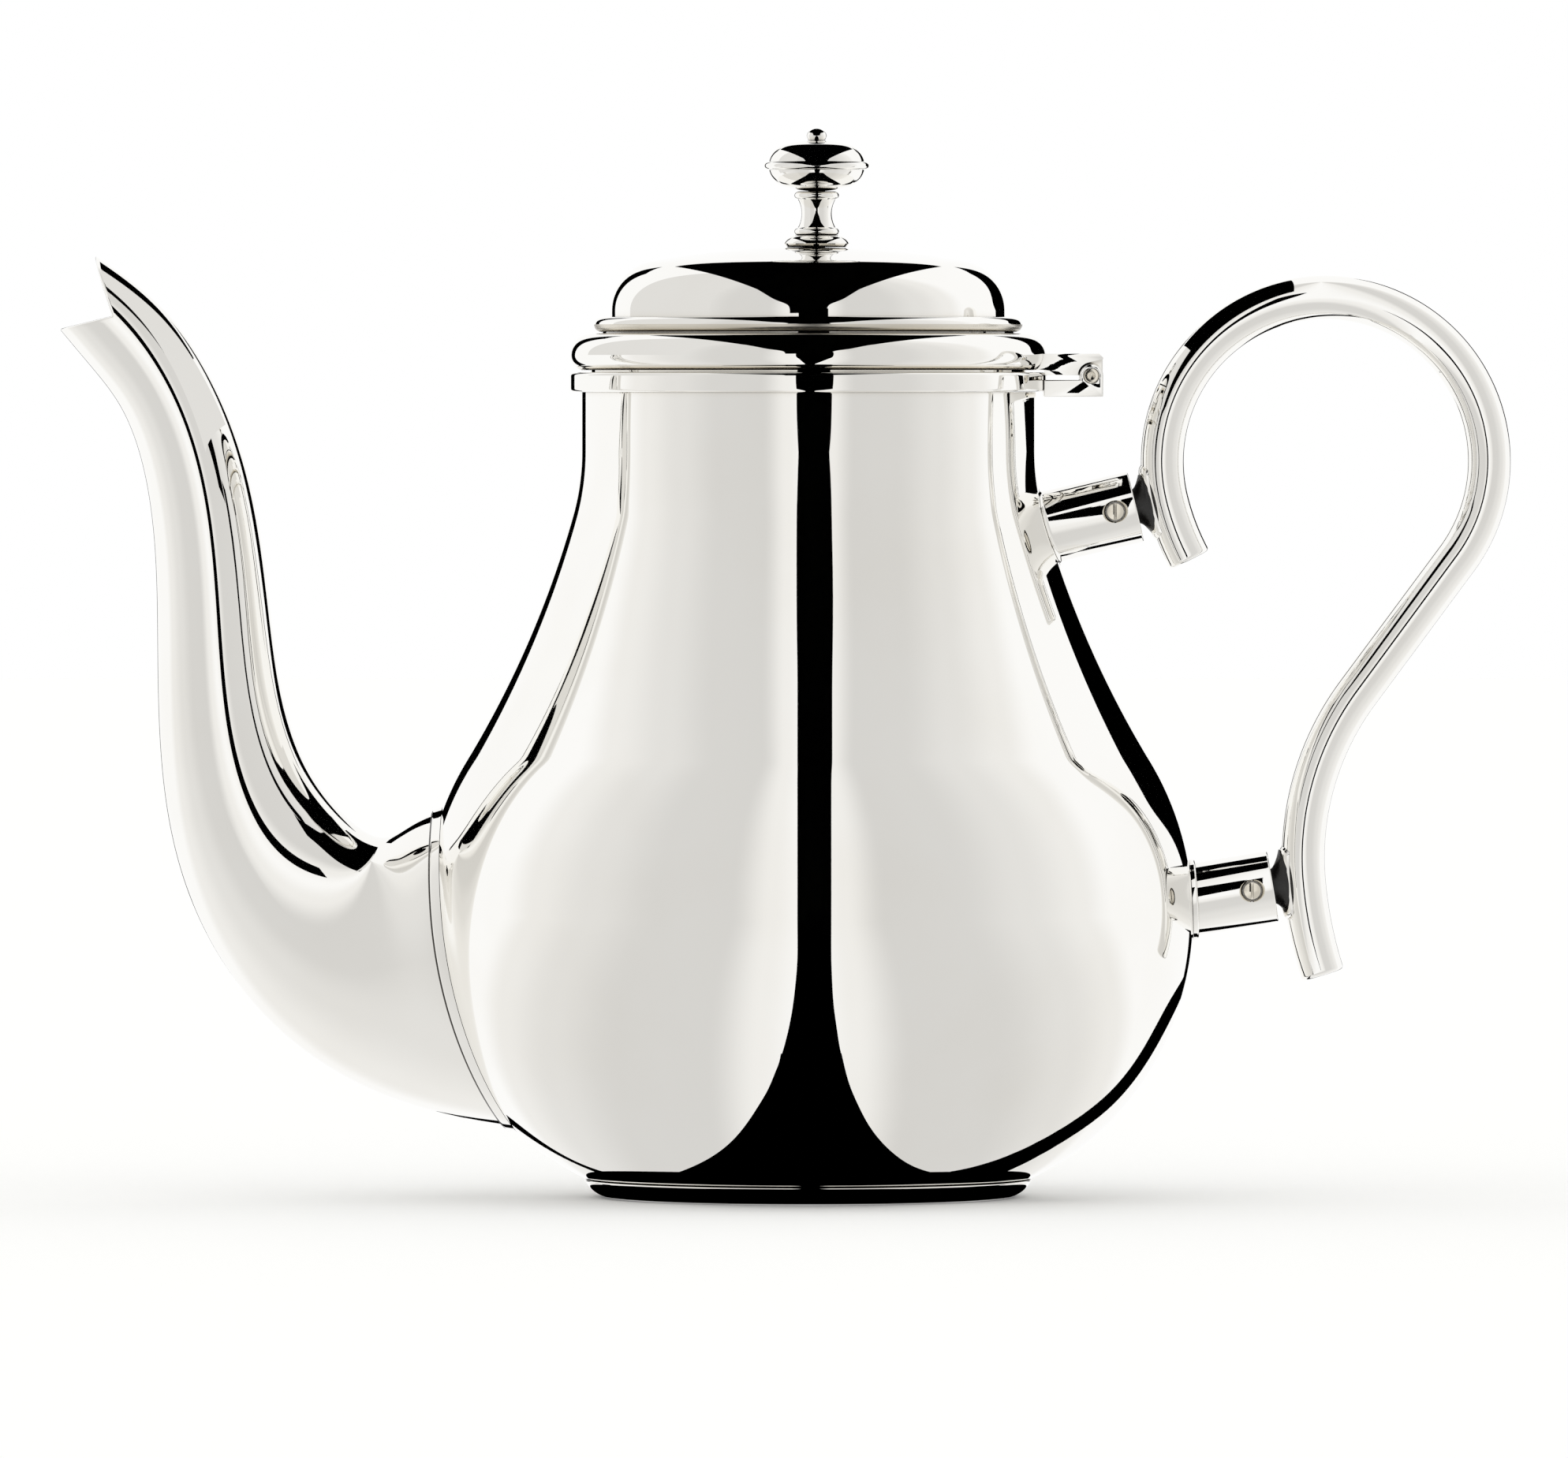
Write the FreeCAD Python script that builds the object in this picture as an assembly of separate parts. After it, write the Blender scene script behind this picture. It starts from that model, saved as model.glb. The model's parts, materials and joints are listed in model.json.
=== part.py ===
"""Silver-plated coffee pot: pear body, swan-neck spout, hinged lid with a turned finial, tube handle.

Millimetres, +Z up. The origin is on the pot's axis, in the plane that the foot stands on.
The spout points to -X and the handle to +X. Every piece is symmetric about the XZ plane,
apart from the two screws, which go in from the -Y side.
"""
import FreeCAD
import Part
import os
from math import acos, asin, cos, radians, sin, sqrt, tan

# General fits
SOLDER_GAP = 0.05        # between pieces that are soldered or pressed together
RUNNING_GAP = 0.3        # between pieces that pass each other when the lid swings
PIN_GAP = 0.06           # radial, between the hinge pin and the lid's knuckle
NEAR = 1e-6              # two places closer than this are one

# Body: a spun shell whose outline is a chain of tangent arcs
BODY_WALL = 1.0
NECK_R = 40.4
NECK_ARC = 41.0          # hollow bend under the neck
NECK_TURN = radians(15.8)
SHOULDER_ARC = 176.0     # long hollow flank
UPPER_BELLY_ARC = 55.1
LOWER_BELLY_ARC = 51.8
BELLY_R = 68.5
BELLY_Z = 49.8
BOTTOM_Z = 2.0           # underside of the closed bottom
RIM_Z = 146.4            # top of the neck and of its collar

# Foot ring: a quarter-round bead under the body
FOOT_HEIGHT = 3.2
FOOT_STEP = 0.4          # ledge between the body and the bead
FOOT_INSET = 4.9         # from the ledge's edge in to the standing face
FOOT_LAND = 4.0          # width of the standing face

# Collar round the mouth
COLLAR_HEIGHT = 3.5
COLLAR_DEPTH = 2.0
COLLAR_ROUND = 0.6

# Lid: rolled rim, bead, domed top
LID_GAP = 0.4            # dark line between the collar and the lid
LID_WALL = 1.0
LID_SETBACK = 0.1        # of the rim behind the collar's face
LID_TUCK = 1.9           # how far the lower edge turns in under the rim
LID_TUCK_HEIGHT = 2.6
LID_ROLL = 3.9           # radius of the rim's upper quarter round
LID_STEP = 0.3
LID_BEAD_SET = 4.3       # of the bead's edge in from the rim
LID_BEAD_ROUND = 1.3
DOME_SET = 7.2           # of the dome's side in from the rim
DOME_SIDE = 1.1          # upright side above the bead
DOME_SHOULDER = 9.0
DOME_CROWN = 2.3         # rise of the crown above the shoulder

# Locating ring under the lid
BEZEL_WALL = 1.0
BEZEL_CLEARANCE = 0.7    # radial, inside the neck
BEZEL_DEPTH = 5.0        # below the lid's edge
BEZEL_SEAT = 4.5         # above the lid's edge

# Hinge: knuckles on a pin along Y, the lid's between the body's
KNUCKLES = 3
HINGE_REACH = 7.7        # pin axis, out from the collar's face
HINGE_DROP = 0.6         # pin axis, down from the rim
HINGE_WIDTH = 16.0
HINGE_KNUCKLE_R = 2.1
HINGE_PIN_R = 1.3
HINGE_PIN_HEAD = 0.15    # how far each pin end stands proud
HINGE_TOP = 3.9          # top of the lid's leaf above the pin axis
HINGE_BEVEL = 0.7
HINGE_BOTTOM = 3.7       # underside of the body's leaf below the pin axis
HINGE_LOWER_EDGE = 0.75  # upper edge of the body's leaf below the pin axis
HINGE_UPPER_EDGE = 0.1   # lower edge of the lid's leaf above the pin axis
LID_STOP = radians(103)  # opening at which the lid's leaf meets the back of the body's leaf

# Finial, a turned stack held by a stud
FINIAL_OFFSET = 1.5      # of the finial's axis from the lid's, towards the hinge
FINIAL_BORE = 1.6
FINIAL_STUD_R = 1.5
FINIAL_BASE_R = 5.8
FINIAL_BASE_HEIGHT = 2.1
FINIAL_BASE_LIP = 0.65   # height of the base's widest line
FINIAL_BASE_BULGE = 0.3  # of its rounded top beyond a cone
FINIAL_BEAD_R = 4.0
FINIAL_BEAD_HEIGHT = 1.4
FINIAL_SPOOL_R = 3.4
FINIAL_WAIST_R = 2.7
FINIAL_SPOOL_HEIGHT = 5.0
FINIAL_BALL_R = 8.6
FINIAL_BALL_HEIGHT = 9.1
FINIAL_BALL_SHOULDER = 3.9   # radius of the ball's side, before the flatter crowns
FINIAL_BAND = 0.75       # half height of the bead round the ball
FINIAL_TIP_R = 1.8
FINIAL_TIP_HEIGHT = 2.1
FINIAL_STUD_GRIP = 3.0   # of the stud inside the ball
WASHER_R = 4.0
WASHER_THICKNESS = 0.8
NUT_FLATS = 5.5
NUT_HEIGHT = 2.4
STUD_TAIL = 1.2          # of the stud below the nut

# Handle sockets, upper then lower
SOCKET_R = 6.4
SOCKET_WALL = 1.4
UPPER_SOCKET_Z = 118.9   # where the socket's axis leaves the body
UPPER_SOCKET_TILT = radians(13.5)
UPPER_SOCKET_LENGTH = 15.9
LOWER_SOCKET_Z = 52.8
LOWER_SOCKET_TILT = radians(9.5)
LOWER_SOCKET_LENGTH = 14.2
SOCKET_RING = 0.7        # raised ring where the lower socket meets the body

# Set screws in the sockets
SCREW_SETBACK = 3.8      # from the socket's end
SCREW_HEAD_R = 1.5
SCREW_HEAD_SINK = 0.15
SCREW_HEAD_HEIGHT = 0.8
SCREW_RECESS_R = 1.8
SCREW_R = 1.0
SCREW_SLOT = 0.5

# Insulators between the sockets and the handle
STANDOFF = 1.8           # from the socket's end to the handle's surface
PLUG_LENGTH = 8.0
INSULATOR_NECK_R = 3.2
INSULATOR_NECK = 0.5
INSULATOR_FLARE_R = 5.6
SADDLE_THICKNESS = 0.5
SADDLE_LIP = 0.6         # of the saddle beyond the insulator's flare
HANDLE_STUD_R = 1.6
HANDLE_STUD_REACH = 7.0  # inside the socket

# Handle: a question mark of round tube
TUBE_R = 3.85
TUBE_WALL = 1.2
LOOP_R = 29.0
LOOP_LEAN = radians(36.5)   # of the straight run from the upright
LOWER_LEAN = radians(5)  # of the tube at the lower socket
UPPER_TAIL = 11.8        # beyond the upper socket's axis
UPPER_TAIL_ARC = 45.0    # slack bend of that end
LOWER_TAIL = 17.2        # beyond the lower socket's axis
LOWER_TAIL_ARC = 75.0
CAP_THICKNESS = 1.2
CAP_ROUND = 0.7
CAP_SPIGOT = 3.0

# Spout sections, base to mouth: underside (out, up), upper side (out, up), half width.
# Out is from the belly's widest line away from the pot, up is from the belly's height.
SPOUT_WALL = 0.9
SPOUT_SECTIONS = (
    ((-20.5, -38.8), (-8.5, 20.7), 25.5),
    ((-14.2, -37.2), (-1.3, 18.1), 24.2),
    ((2.5, -33.2), (5.7, 14.2), 19.0),
    ((26.5, -19.0), (14.0, 18.2), 13.6),
    ((41.5, 4.2), (20.7, 27.2), 11.6),
    ((46.7, 34.2), (25.4, 42.7), 10.4),
    ((47.4, 64.7), (28.7, 67.7), 9.2),
    ((53.5, 90.5), (37.5, 95.7), 7.6),
    ((58.8, 97.7), (44.9, 106.7), 7.0),
    ((68.2, 108.9), (61.0, 119.2), 6.2),
)
MOUTH_UPPER_TIP = (58.4, 118.2)
MOUTH_HOOD = (57.0, 112.8)   # bulge of the hood's front edge
MOUTH_NOTCH = (55.0, 106.6)
MOUTH_LOWER_TIP = (64.4, 104.3)
MOUTH_CLEAR = 20.0       # open space kept in front of the lip
FLANGE_PROUD = 0.5       # of the strip round the base beyond the spout
FLANGE_HEIGHT = 1.5      # of that strip off the body


def point(x, z):
    return FreeCAD.Vector(x, 0, z)


def line(start, end):
    return Part.LineSegment(start, end).toShape()


def arc(start, middle, end):
    return Part.Arc(start, middle, end).toShape()


def chain(corners):
    """Straight edges from corner to corner."""
    return [line(a, b) for a, b in zip(corners, corners[1:])]


def revolve(edges):
    """Turn a closed outline in the XZ plane about the pot's axis."""
    face = Part.Face(Part.Wire(edges))
    return face.revolve(FreeCAD.Vector(), FreeCAD.Vector(0, 0, 1), 360)


def prism(edges, low, high):
    """Push a closed outline in the XZ plane along Y."""
    face = Part.Face(Part.Wire(edges))
    face.translate(FreeCAD.Vector(0, low, 0))
    return face.extrude(FreeCAD.Vector(0, high - low, 0))


def ring(inner, outer, low, high):
    return revolve(chain([point(inner, low), point(outer, low), point(outer, high),
                          point(inner, high), point(inner, low)]))


def disc(radius, low, high):
    return Part.makeCylinder(radius, high - low, point(0, low))


# Body outline: slopes are measured from the upright, and the outward normal at a slope is (cos, sin)
SHOULDER_TURN = acos((NECK_ARC * (1 - cos(NECK_TURN)) + SHOULDER_ARC * cos(NECK_TURN)
                      + UPPER_BELLY_ARC - (BELLY_R - NECK_R)) / (UPPER_BELLY_ARC + SHOULDER_ARC))
FLANK_Z = BELLY_Z + UPPER_BELLY_ARC * sin(SHOULDER_TURN)
NECK_BEND_Z = FLANK_Z + SHOULDER_ARC * (sin(SHOULDER_TURN) - sin(NECK_TURN))
NECK_END_Z = NECK_BEND_Z + NECK_ARC * sin(NECK_TURN)
NECK_CENTRE = point(NECK_R + NECK_ARC, NECK_END_Z)
SHOULDER_CENTRE = point(NECK_CENTRE.x + (SHOULDER_ARC - NECK_ARC) * cos(NECK_TURN),
                        NECK_CENTRE.z + (SHOULDER_ARC - NECK_ARC) * sin(NECK_TURN))
UPPER_CENTRE = point(BELLY_R - UPPER_BELLY_ARC, BELLY_Z)
LOWER_CENTRE = point(BELLY_R - LOWER_BELLY_ARC, BELLY_Z)


def body_radius(z):
    """Outer radius of the body at a height."""
    if z >= NECK_END_Z:
        return NECK_R
    if z >= NECK_BEND_Z:
        return NECK_CENTRE.x - sqrt(NECK_ARC ** 2 - (z - NECK_CENTRE.z) ** 2)
    if z >= FLANK_Z:
        return SHOULDER_CENTRE.x - sqrt(SHOULDER_ARC ** 2 - (z - SHOULDER_CENTRE.z) ** 2)
    if z >= BELLY_Z:
        return UPPER_CENTRE.x + sqrt(UPPER_BELLY_ARC ** 2 - (z - BELLY_Z) ** 2)
    return LOWER_CENTRE.x + sqrt(LOWER_BELLY_ARC ** 2 - (z - BELLY_Z) ** 2)


def slope_arc(centre, radius, start, end):
    """Arc between two slopes; a hollow arc has a negative radius."""
    spots = [point(centre.x + radius * cos(a), centre.z + radius * sin(a))
             for a in (start, (start + end) / 2, end)]
    return arc(*spots)


def body_solid(offset, top):
    """The body filled solid, its outline moved out by offset and cut level at top."""
    bottom = BOTTOM_Z - offset
    bottom_slope = -asin((BELLY_Z - bottom) / (LOWER_BELLY_ARC + offset))
    neck_top = point(NECK_R + offset, top)
    bends = [slope_arc(NECK_CENTRE, offset - NECK_ARC, 0, NECK_TURN),
             slope_arc(SHOULDER_CENTRE, offset - SHOULDER_ARC, NECK_TURN, SHOULDER_TURN),
             slope_arc(UPPER_CENTRE, UPPER_BELLY_ARC + offset, SHOULDER_TURN, 0),
             slope_arc(LOWER_CENTRE, LOWER_BELLY_ARC + offset, 0, bottom_slope)]
    base = bends[-1].lastVertex().Point
    neck_end = point(NECK_R + offset, NECK_END_Z)
    rest = chain([base, point(0, bottom), point(0, top), neck_top])
    return revolve([line(neck_top, neck_end)] + bends + rest)


BODY_SKIN = body_solid(SOLDER_GAP, RIM_Z)
COLLAR_R = NECK_R + COLLAR_DEPTH
LID_Z = RIM_Z + LID_GAP
LID_R = COLLAR_R - LID_SETBACK
LID_BEAD_R = LID_R - LID_BEAD_SET
DOME_R = LID_R - DOME_SET


def foot_ring():
    top_r = body_radius(FOOT_HEIGHT) + FOOT_STEP
    standing_r = top_r - FOOT_INSET
    bead_r = (FOOT_INSET ** 2 + FOOT_HEIGHT ** 2) / (2 * FOOT_HEIGHT)
    turn = asin(FOOT_INSET / bead_r) / 2
    middle = point(standing_r + bead_r * sin(turn), bead_r * (1 - cos(turn)))
    inner_r = standing_r - FOOT_LAND
    top = point(top_r, FOOT_HEIGHT)
    start = point(standing_r, 0)
    sides = chain([start, point(inner_r, 0), point(inner_r, FOOT_HEIGHT), top])
    return revolve([arc(top, middle, start)] + sides).cut(BODY_SKIN)


def rim_collar():
    inner = NECK_R + SOLDER_GAP
    blank = ring(inner, COLLAR_R, RIM_Z - COLLAR_HEIGHT, RIM_Z)
    outer_edges = [e for e in blank.Edges if abs(e.BoundBox.XMax - COLLAR_R) < NEAR
                   and e.BoundBox.ZLength < NEAR]
    return blank.makeFillet(COLLAR_ROUND, outer_edges)


def ellipse_wire(low, high, half_width, growth):
    """Upright oval section between two points of the spout's outline, grown all round."""
    centre = (low + high) * 0.5
    half = high - centre
    depth = half.Length + growth
    major = centre + half.normalize() * depth
    minor = centre + FreeCAD.Vector(0, half_width + growth, 0)
    return Part.Wire(Part.Ellipse(major, minor, centre).toBSpline().toShape())


def spout_point(spot):
    out, up = spot
    return point(-BELLY_R - out, BELLY_Z + up)


def spout_loft(growth):
    """The spout filled solid."""
    sections = [ellipse_wire(spout_point(low), spout_point(high), half_width, growth)
                for low, high, half_width in SPOUT_SECTIONS]
    return Part.makeLoft(sections, True, False)


def mouth_cutter():
    """What is cut away in front of the beak: the notch between its hood and its pouring lip."""
    hood, bulge, notch, lip = [spout_point(spot) for spot in
                               (MOUTH_UPPER_TIP, MOUTH_HOOD, MOUTH_NOTCH, MOUTH_LOWER_TIP)]
    beyond = lip + (lip - notch).normalize() * MOUTH_CLEAR
    above = point(beyond.x, hood.z + MOUTH_CLEAR)
    over = point(hood.x, above.z)
    outline = [arc(hood, bulge, notch)] + chain([notch, lip, beyond, above, over, hood])
    return prism(outline, -MOUTH_CLEAR, MOUTH_CLEAR)


SPOUT_BORE = spout_loft(-SPOUT_WALL)
SPOUT_FILLED = spout_loft(0)


def body_shell():
    shell = body_solid(0, RIM_Z).cut(body_solid(-BODY_WALL, RIM_Z + BODY_WALL))
    return shell.cut(SPOUT_BORE)


def spout():
    return SPOUT_FILLED.cut(BODY_SKIN).cut(SPOUT_BORE).cut(mouth_cutter())


def spout_flange():
    skin = body_solid(FLANGE_HEIGHT, RIM_Z)
    strip = spout_loft(FLANGE_PROUD).common(skin)
    return strip.cut(BODY_SKIN).cut(spout_loft(SOLDER_GAP))


# Lid heights, from its edge upwards
LID_RIM_Z = LID_Z + LID_TUCK_HEIGHT
LID_ROLL_Z = LID_RIM_Z + LID_ROLL
LID_BEAD_Z = LID_ROLL_Z + LID_STEP + LID_BEAD_ROUND
DOME_Z = LID_BEAD_Z + LID_BEAD_ROUND
DOME_SPRING_Z = DOME_Z + DOME_SIDE
LID_TOP_Z = DOME_SPRING_Z + DOME_SHOULDER + DOME_CROWN
BEZEL_R = NECK_R - BODY_WALL - BEZEL_CLEARANCE
SHOULDER_R = DOME_R - DOME_SHOULDER
CROWN_DEPTH = (SHOULDER_R ** 2 - DOME_CROWN ** 2) / (2 * DOME_CROWN)
CROWN_R = CROWN_DEPTH + DOME_CROWN + DOME_SHOULDER


def dome_edges(offset, foot):
    """Upright side, shoulder and crown of the dome from foot to its top on the axis."""
    side_r = DOME_R + offset
    shoulder = DOME_SHOULDER + offset
    crown = CROWN_R + offset
    crown_z = DOME_SPRING_Z - CROWN_DEPTH
    lean = asin(SHOULDER_R / (CROWN_DEPTH + DOME_CROWN))
    spring = point(side_r, DOME_SPRING_Z)
    turn = (radians(90) - lean) / 2
    middle = point(SHOULDER_R + shoulder * cos(turn), DOME_SPRING_Z + shoulder * sin(turn))
    join = point(crown * sin(lean), crown_z + crown * cos(lean))
    half = point(crown * sin(lean / 2), crown_z + crown * cos(lean / 2))
    top = point(0, crown_z + crown)
    return [line(point(side_r, foot), spring), arc(spring, middle, join), arc(join, half, top)]


def lid_outline():
    """The lid filled solid."""
    edge = point(LID_R - LID_TUCK, LID_Z)
    rim = point(LID_R, LID_RIM_Z)
    tuck_r = (LID_TUCK ** 2 + LID_TUCK_HEIGHT ** 2) / (2 * LID_TUCK)
    turn = asin(LID_TUCK_HEIGHT / tuck_r) / 2
    tuck = point(LID_R - tuck_r * (1 - cos(turn)), LID_RIM_Z - tuck_r * sin(turn))
    roll_centre = point(LID_R - LID_ROLL, LID_RIM_Z)
    roll = slope_arc(roll_centre, LID_ROLL, 0, radians(90))
    bead_r = LID_BEAD_R - LID_BEAD_ROUND
    bead_foot = point(bead_r, LID_BEAD_Z - LID_BEAD_ROUND)
    bead_top = point(bead_r, DOME_Z)
    bead = arc(bead_foot, point(LID_BEAD_R, LID_BEAD_Z), bead_top)
    step = chain([roll.lastVertex().Point, point(bead_r, LID_ROLL_Z), bead_foot])
    dome = dome_edges(0, DOME_Z)
    ledge = line(bead_top, point(DOME_R, DOME_Z))
    closing = chain([point(0, LID_TOP_Z), point(0, LID_Z), edge])
    return revolve([arc(edge, tuck, rim), roll] + step + [bead, ledge] + dome + closing)


LID_FILLED = lid_outline()


def on_finial(shape):
    """Move a piece from the pot's axis to the finial's."""
    return shape.translated(point(FINIAL_OFFSET, 0))


def lid_dome():
    seat_r = BEZEL_R + SOLDER_GAP
    seat_z = LID_Z + BEZEL_SEAT + SOLDER_GAP
    inside = dome_edges(-LID_WALL, LID_Z)
    hollow = revolve(inside + chain([inside[-1].lastVertex().Point, point(0, LID_Z),
                                     inside[0].firstVertex().Point]))
    shell = LID_FILLED.cut(hollow).cut(disc(seat_r, LID_Z, seat_z))
    return shell.cut(on_finial(disc(FINIAL_BORE, LID_Z, LID_TOP_Z)))


def lid_bezel():
    return ring(BEZEL_R - BEZEL_WALL, BEZEL_R, LID_Z - BEZEL_DEPTH, LID_Z + BEZEL_SEAT)


# Hinge geometry about the pin
PIN = point(COLLAR_R + HINGE_REACH, RIM_Z - HINGE_DROP)
HINGE_BACK = PIN.x + HINGE_KNUCKLE_R
KNUCKLE_SWEEP = HINGE_KNUCKLE_R + RUNNING_GAP
KNUCKLE_HALF = HINGE_WIDTH / KNUCKLES / 2
HINGE_HALF = HINGE_WIDTH / 2
ALONG_Y = FreeCAD.Vector(0, 1, 0)


def pin_rod(radius, half_length):
    return Part.makeCylinder(radius, 2 * half_length, PIN - ALONG_Y * half_length, ALONG_Y)


def hinge_body_leaf():
    low = PIN.z - HINGE_BOTTOM
    high = PIN.z - HINGE_LOWER_EDGE
    inner = NECK_R
    block = prism(chain([point(inner, low), point(HINGE_BACK, low), point(HINGE_BACK, PIN.z),
                         point(PIN.x, PIN.z), point(PIN.x, high), point(inner, high),
                         point(inner, low)]), -HINGE_HALF, HINGE_HALF)
    leaf = block.fuse(pin_rod(HINGE_KNUCKLE_R, HINGE_HALF)).removeSplitter()
    slot_half = KNUCKLE_HALF + RUNNING_GAP
    slot_depth = HINGE_BACK - PIN.x + KNUCKLE_SWEEP
    slot_height = HINGE_BOTTOM + HINGE_TOP
    slot = Part.makeBox(slot_depth, 2 * slot_half, slot_height,
                        FreeCAD.Vector(PIN.x - KNUCKLE_SWEEP, -slot_half, low))
    neck = disc(COLLAR_R + SOLDER_GAP, low, PIN.z + HINGE_TOP)
    return leaf.cut(slot).cut(neck).cut(pin_rod(HINGE_PIN_R + SOLDER_GAP, HINGE_HALF))


def hinge_lid_leaf():
    low = PIN.z + HINGE_UPPER_EDGE
    top = PIN.z + HINGE_TOP
    inner = BEZEL_R
    lean = LID_STOP - radians(90)
    touch = point(PIN.x - KNUCKLE_SWEEP * sin(lean), PIN.z + KNUCKLE_SWEEP * cos(lean))
    back = point(HINGE_BACK, touch.z + (HINGE_BACK - touch.x) * tan(lean))
    bevel = [point(HINGE_BACK, top - HINGE_BEVEL), point(HINGE_BACK - HINGE_BEVEL, top)]
    outline = [point(inner, low), point(touch.x, low), touch, back] + bevel
    outline += [point(inner, top), point(inner, low)]
    plate = prism(chain(outline), -HINGE_HALF, HINGE_HALF).cut(pin_rod(KNUCKLE_SWEEP, HINGE_HALF))
    web = prism(chain([point(PIN.x - KNUCKLE_SWEEP, low), point(HINGE_BACK, low), back, point(touch.x, top),
                       point(PIN.x - KNUCKLE_SWEEP, top), point(PIN.x - KNUCKLE_SWEEP, low)]),
                -KNUCKLE_HALF, KNUCKLE_HALF)
    leaf = plate.fuse([web, pin_rod(HINGE_KNUCKLE_R, KNUCKLE_HALF)]).removeSplitter()
    leaf = leaf.cut(pin_rod(HINGE_PIN_R + PIN_GAP, HINGE_HALF))
    collar = disc(COLLAR_R + RUNNING_GAP, low, LID_Z)
    return leaf.cut(LID_FILLED).cut(collar)


def hinge_pin():
    return pin_rod(HINGE_PIN_R, HINGE_HALF + HINGE_PIN_HEAD)


# Finial heights, from the crown upwards
STEM_Z = LID_TOP_Z + FINIAL_BASE_HEIGHT
SPOOL_Z = STEM_Z + FINIAL_BEAD_HEIGHT
SPOOL_TOP_Z = SPOOL_Z + FINIAL_SPOOL_HEIGHT
BALL_Z = SPOOL_TOP_Z + FINIAL_BEAD_HEIGHT
TIP_Z = BALL_Z + FINIAL_BALL_HEIGHT


def finial_base():
    """Low cushion that stands on the crown, tucked in below its widest line."""
    lip = point(FINIAL_BASE_R, LID_TOP_Z + FINIAL_BASE_LIP)
    top = point(FINIAL_BEAD_R, STEM_Z)
    way = (top - lip).normalize()
    middle = (lip + top) * 0.5 + point(way.z, -way.x) * FINIAL_BASE_BULGE
    foot = point(FINIAL_BASE_R - FINIAL_BASE_LIP, LID_TOP_Z)
    rest = chain([top, point(FINIAL_BORE, STEM_Z), point(FINIAL_BORE, LID_TOP_Z), foot, lip])
    return revolve([arc(lip, middle, top)] + rest)


def finial_stem():
    bore = FINIAL_BORE
    edges = []
    for low, high in ((STEM_Z, SPOOL_Z), (SPOOL_TOP_Z, BALL_Z)):
        foot = point(FINIAL_SPOOL_R, low)
        edges.append(arc(foot, point(FINIAL_BEAD_R, (low + high) / 2), point(FINIAL_SPOOL_R, high)))
    waist = point(FINIAL_WAIST_R, (SPOOL_Z + SPOOL_TOP_Z) / 2)
    spool = arc(point(FINIAL_SPOOL_R, SPOOL_Z), waist, point(FINIAL_SPOOL_R, SPOOL_TOP_Z))
    closing = chain([point(FINIAL_SPOOL_R, BALL_Z), point(bore, BALL_Z), point(bore, STEM_Z),
                     point(FINIAL_SPOOL_R, STEM_Z)])
    return revolve([edges[0], spool, edges[1]] + closing)


def finial_ball():
    """Flattened ball, its outline a round side between two flatter crowns, with a bead round the middle."""
    half = FINIAL_BALL_HEIGHT / 2
    middle = BALL_Z + half
    side_centre = FINIAL_BALL_R - FINIAL_BALL_SHOULDER
    crown = (FINIAL_BALL_R ** 2 + half ** 2 - 2 * FINIAL_BALL_R * FINIAL_BALL_SHOULDER) / (
        2 * (half - FINIAL_BALL_SHOULDER))
    turn = asin((crown - half) / (crown - FINIAL_BALL_SHOULDER))
    pole = radians(90)
    side = slope_arc(point(side_centre, middle), FINIAL_BALL_SHOULDER, -turn, turn)
    upper = slope_arc(point(0, middle + half - crown), crown, turn, pole)
    lower = slope_arc(point(0, middle - half + crown), crown, -pole, -turn)
    ball = revolve([lower, side, upper, line(point(0, TIP_Z), point(0, BALL_Z))])
    bead_r = side_centre + sqrt(FINIAL_BALL_SHOULDER ** 2 - FINIAL_BAND ** 2)
    bead_foot = point(bead_r, middle - FINIAL_BAND)
    bead_top = point(bead_r, middle + FINIAL_BAND)
    bead = arc(bead_foot, point(FINIAL_BALL_R + FINIAL_BAND, middle), bead_top)
    core = chain([bead_top, point(side_centre, bead_top.z), point(side_centre, bead_foot.z), bead_foot])
    stud_top = BALL_Z + FINIAL_STUD_GRIP + SOLDER_GAP
    return ball.fuse(revolve([bead] + core)).cut(disc(FINIAL_BORE, BALL_Z, stud_top))


def finial_tip():
    """Short button with a rounded top."""
    rise = FINIAL_TIP_HEIGHT / 2
    cap_r = (FINIAL_TIP_R ** 2 + rise ** 2) / (2 * rise)
    turn = asin(FINIAL_TIP_R / cap_r) / 2
    top = point(0, TIP_Z + FINIAL_TIP_HEIGHT)
    side = point(FINIAL_TIP_R, top.z - rise)
    crown = point(cap_r * sin(turn), top.z - cap_r * (1 - cos(turn)))
    rest = chain([top, point(0, TIP_Z), point(FINIAL_TIP_R, TIP_Z), side])
    return revolve([arc(side, crown, top)] + rest)


# The washer touches the hollow side of the crown at the washer's outer edge
CROWN_SAG = CROWN_R - LID_WALL - sqrt((CROWN_R - LID_WALL) ** 2 - (FINIAL_OFFSET + WASHER_R) ** 2)
WASHER_TOP_Z = LID_TOP_Z - LID_WALL - CROWN_SAG - SOLDER_GAP
NUT_TOP_Z = WASHER_TOP_Z - WASHER_THICKNESS
NUT_Z = NUT_TOP_Z - NUT_HEIGHT


def finial_stud():
    return disc(FINIAL_STUD_R, NUT_Z - STUD_TAIL, BALL_Z + FINIAL_STUD_GRIP)


def finial_washer():
    return ring(FINIAL_BORE, WASHER_R, NUT_TOP_Z, WASHER_TOP_Z)


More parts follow.
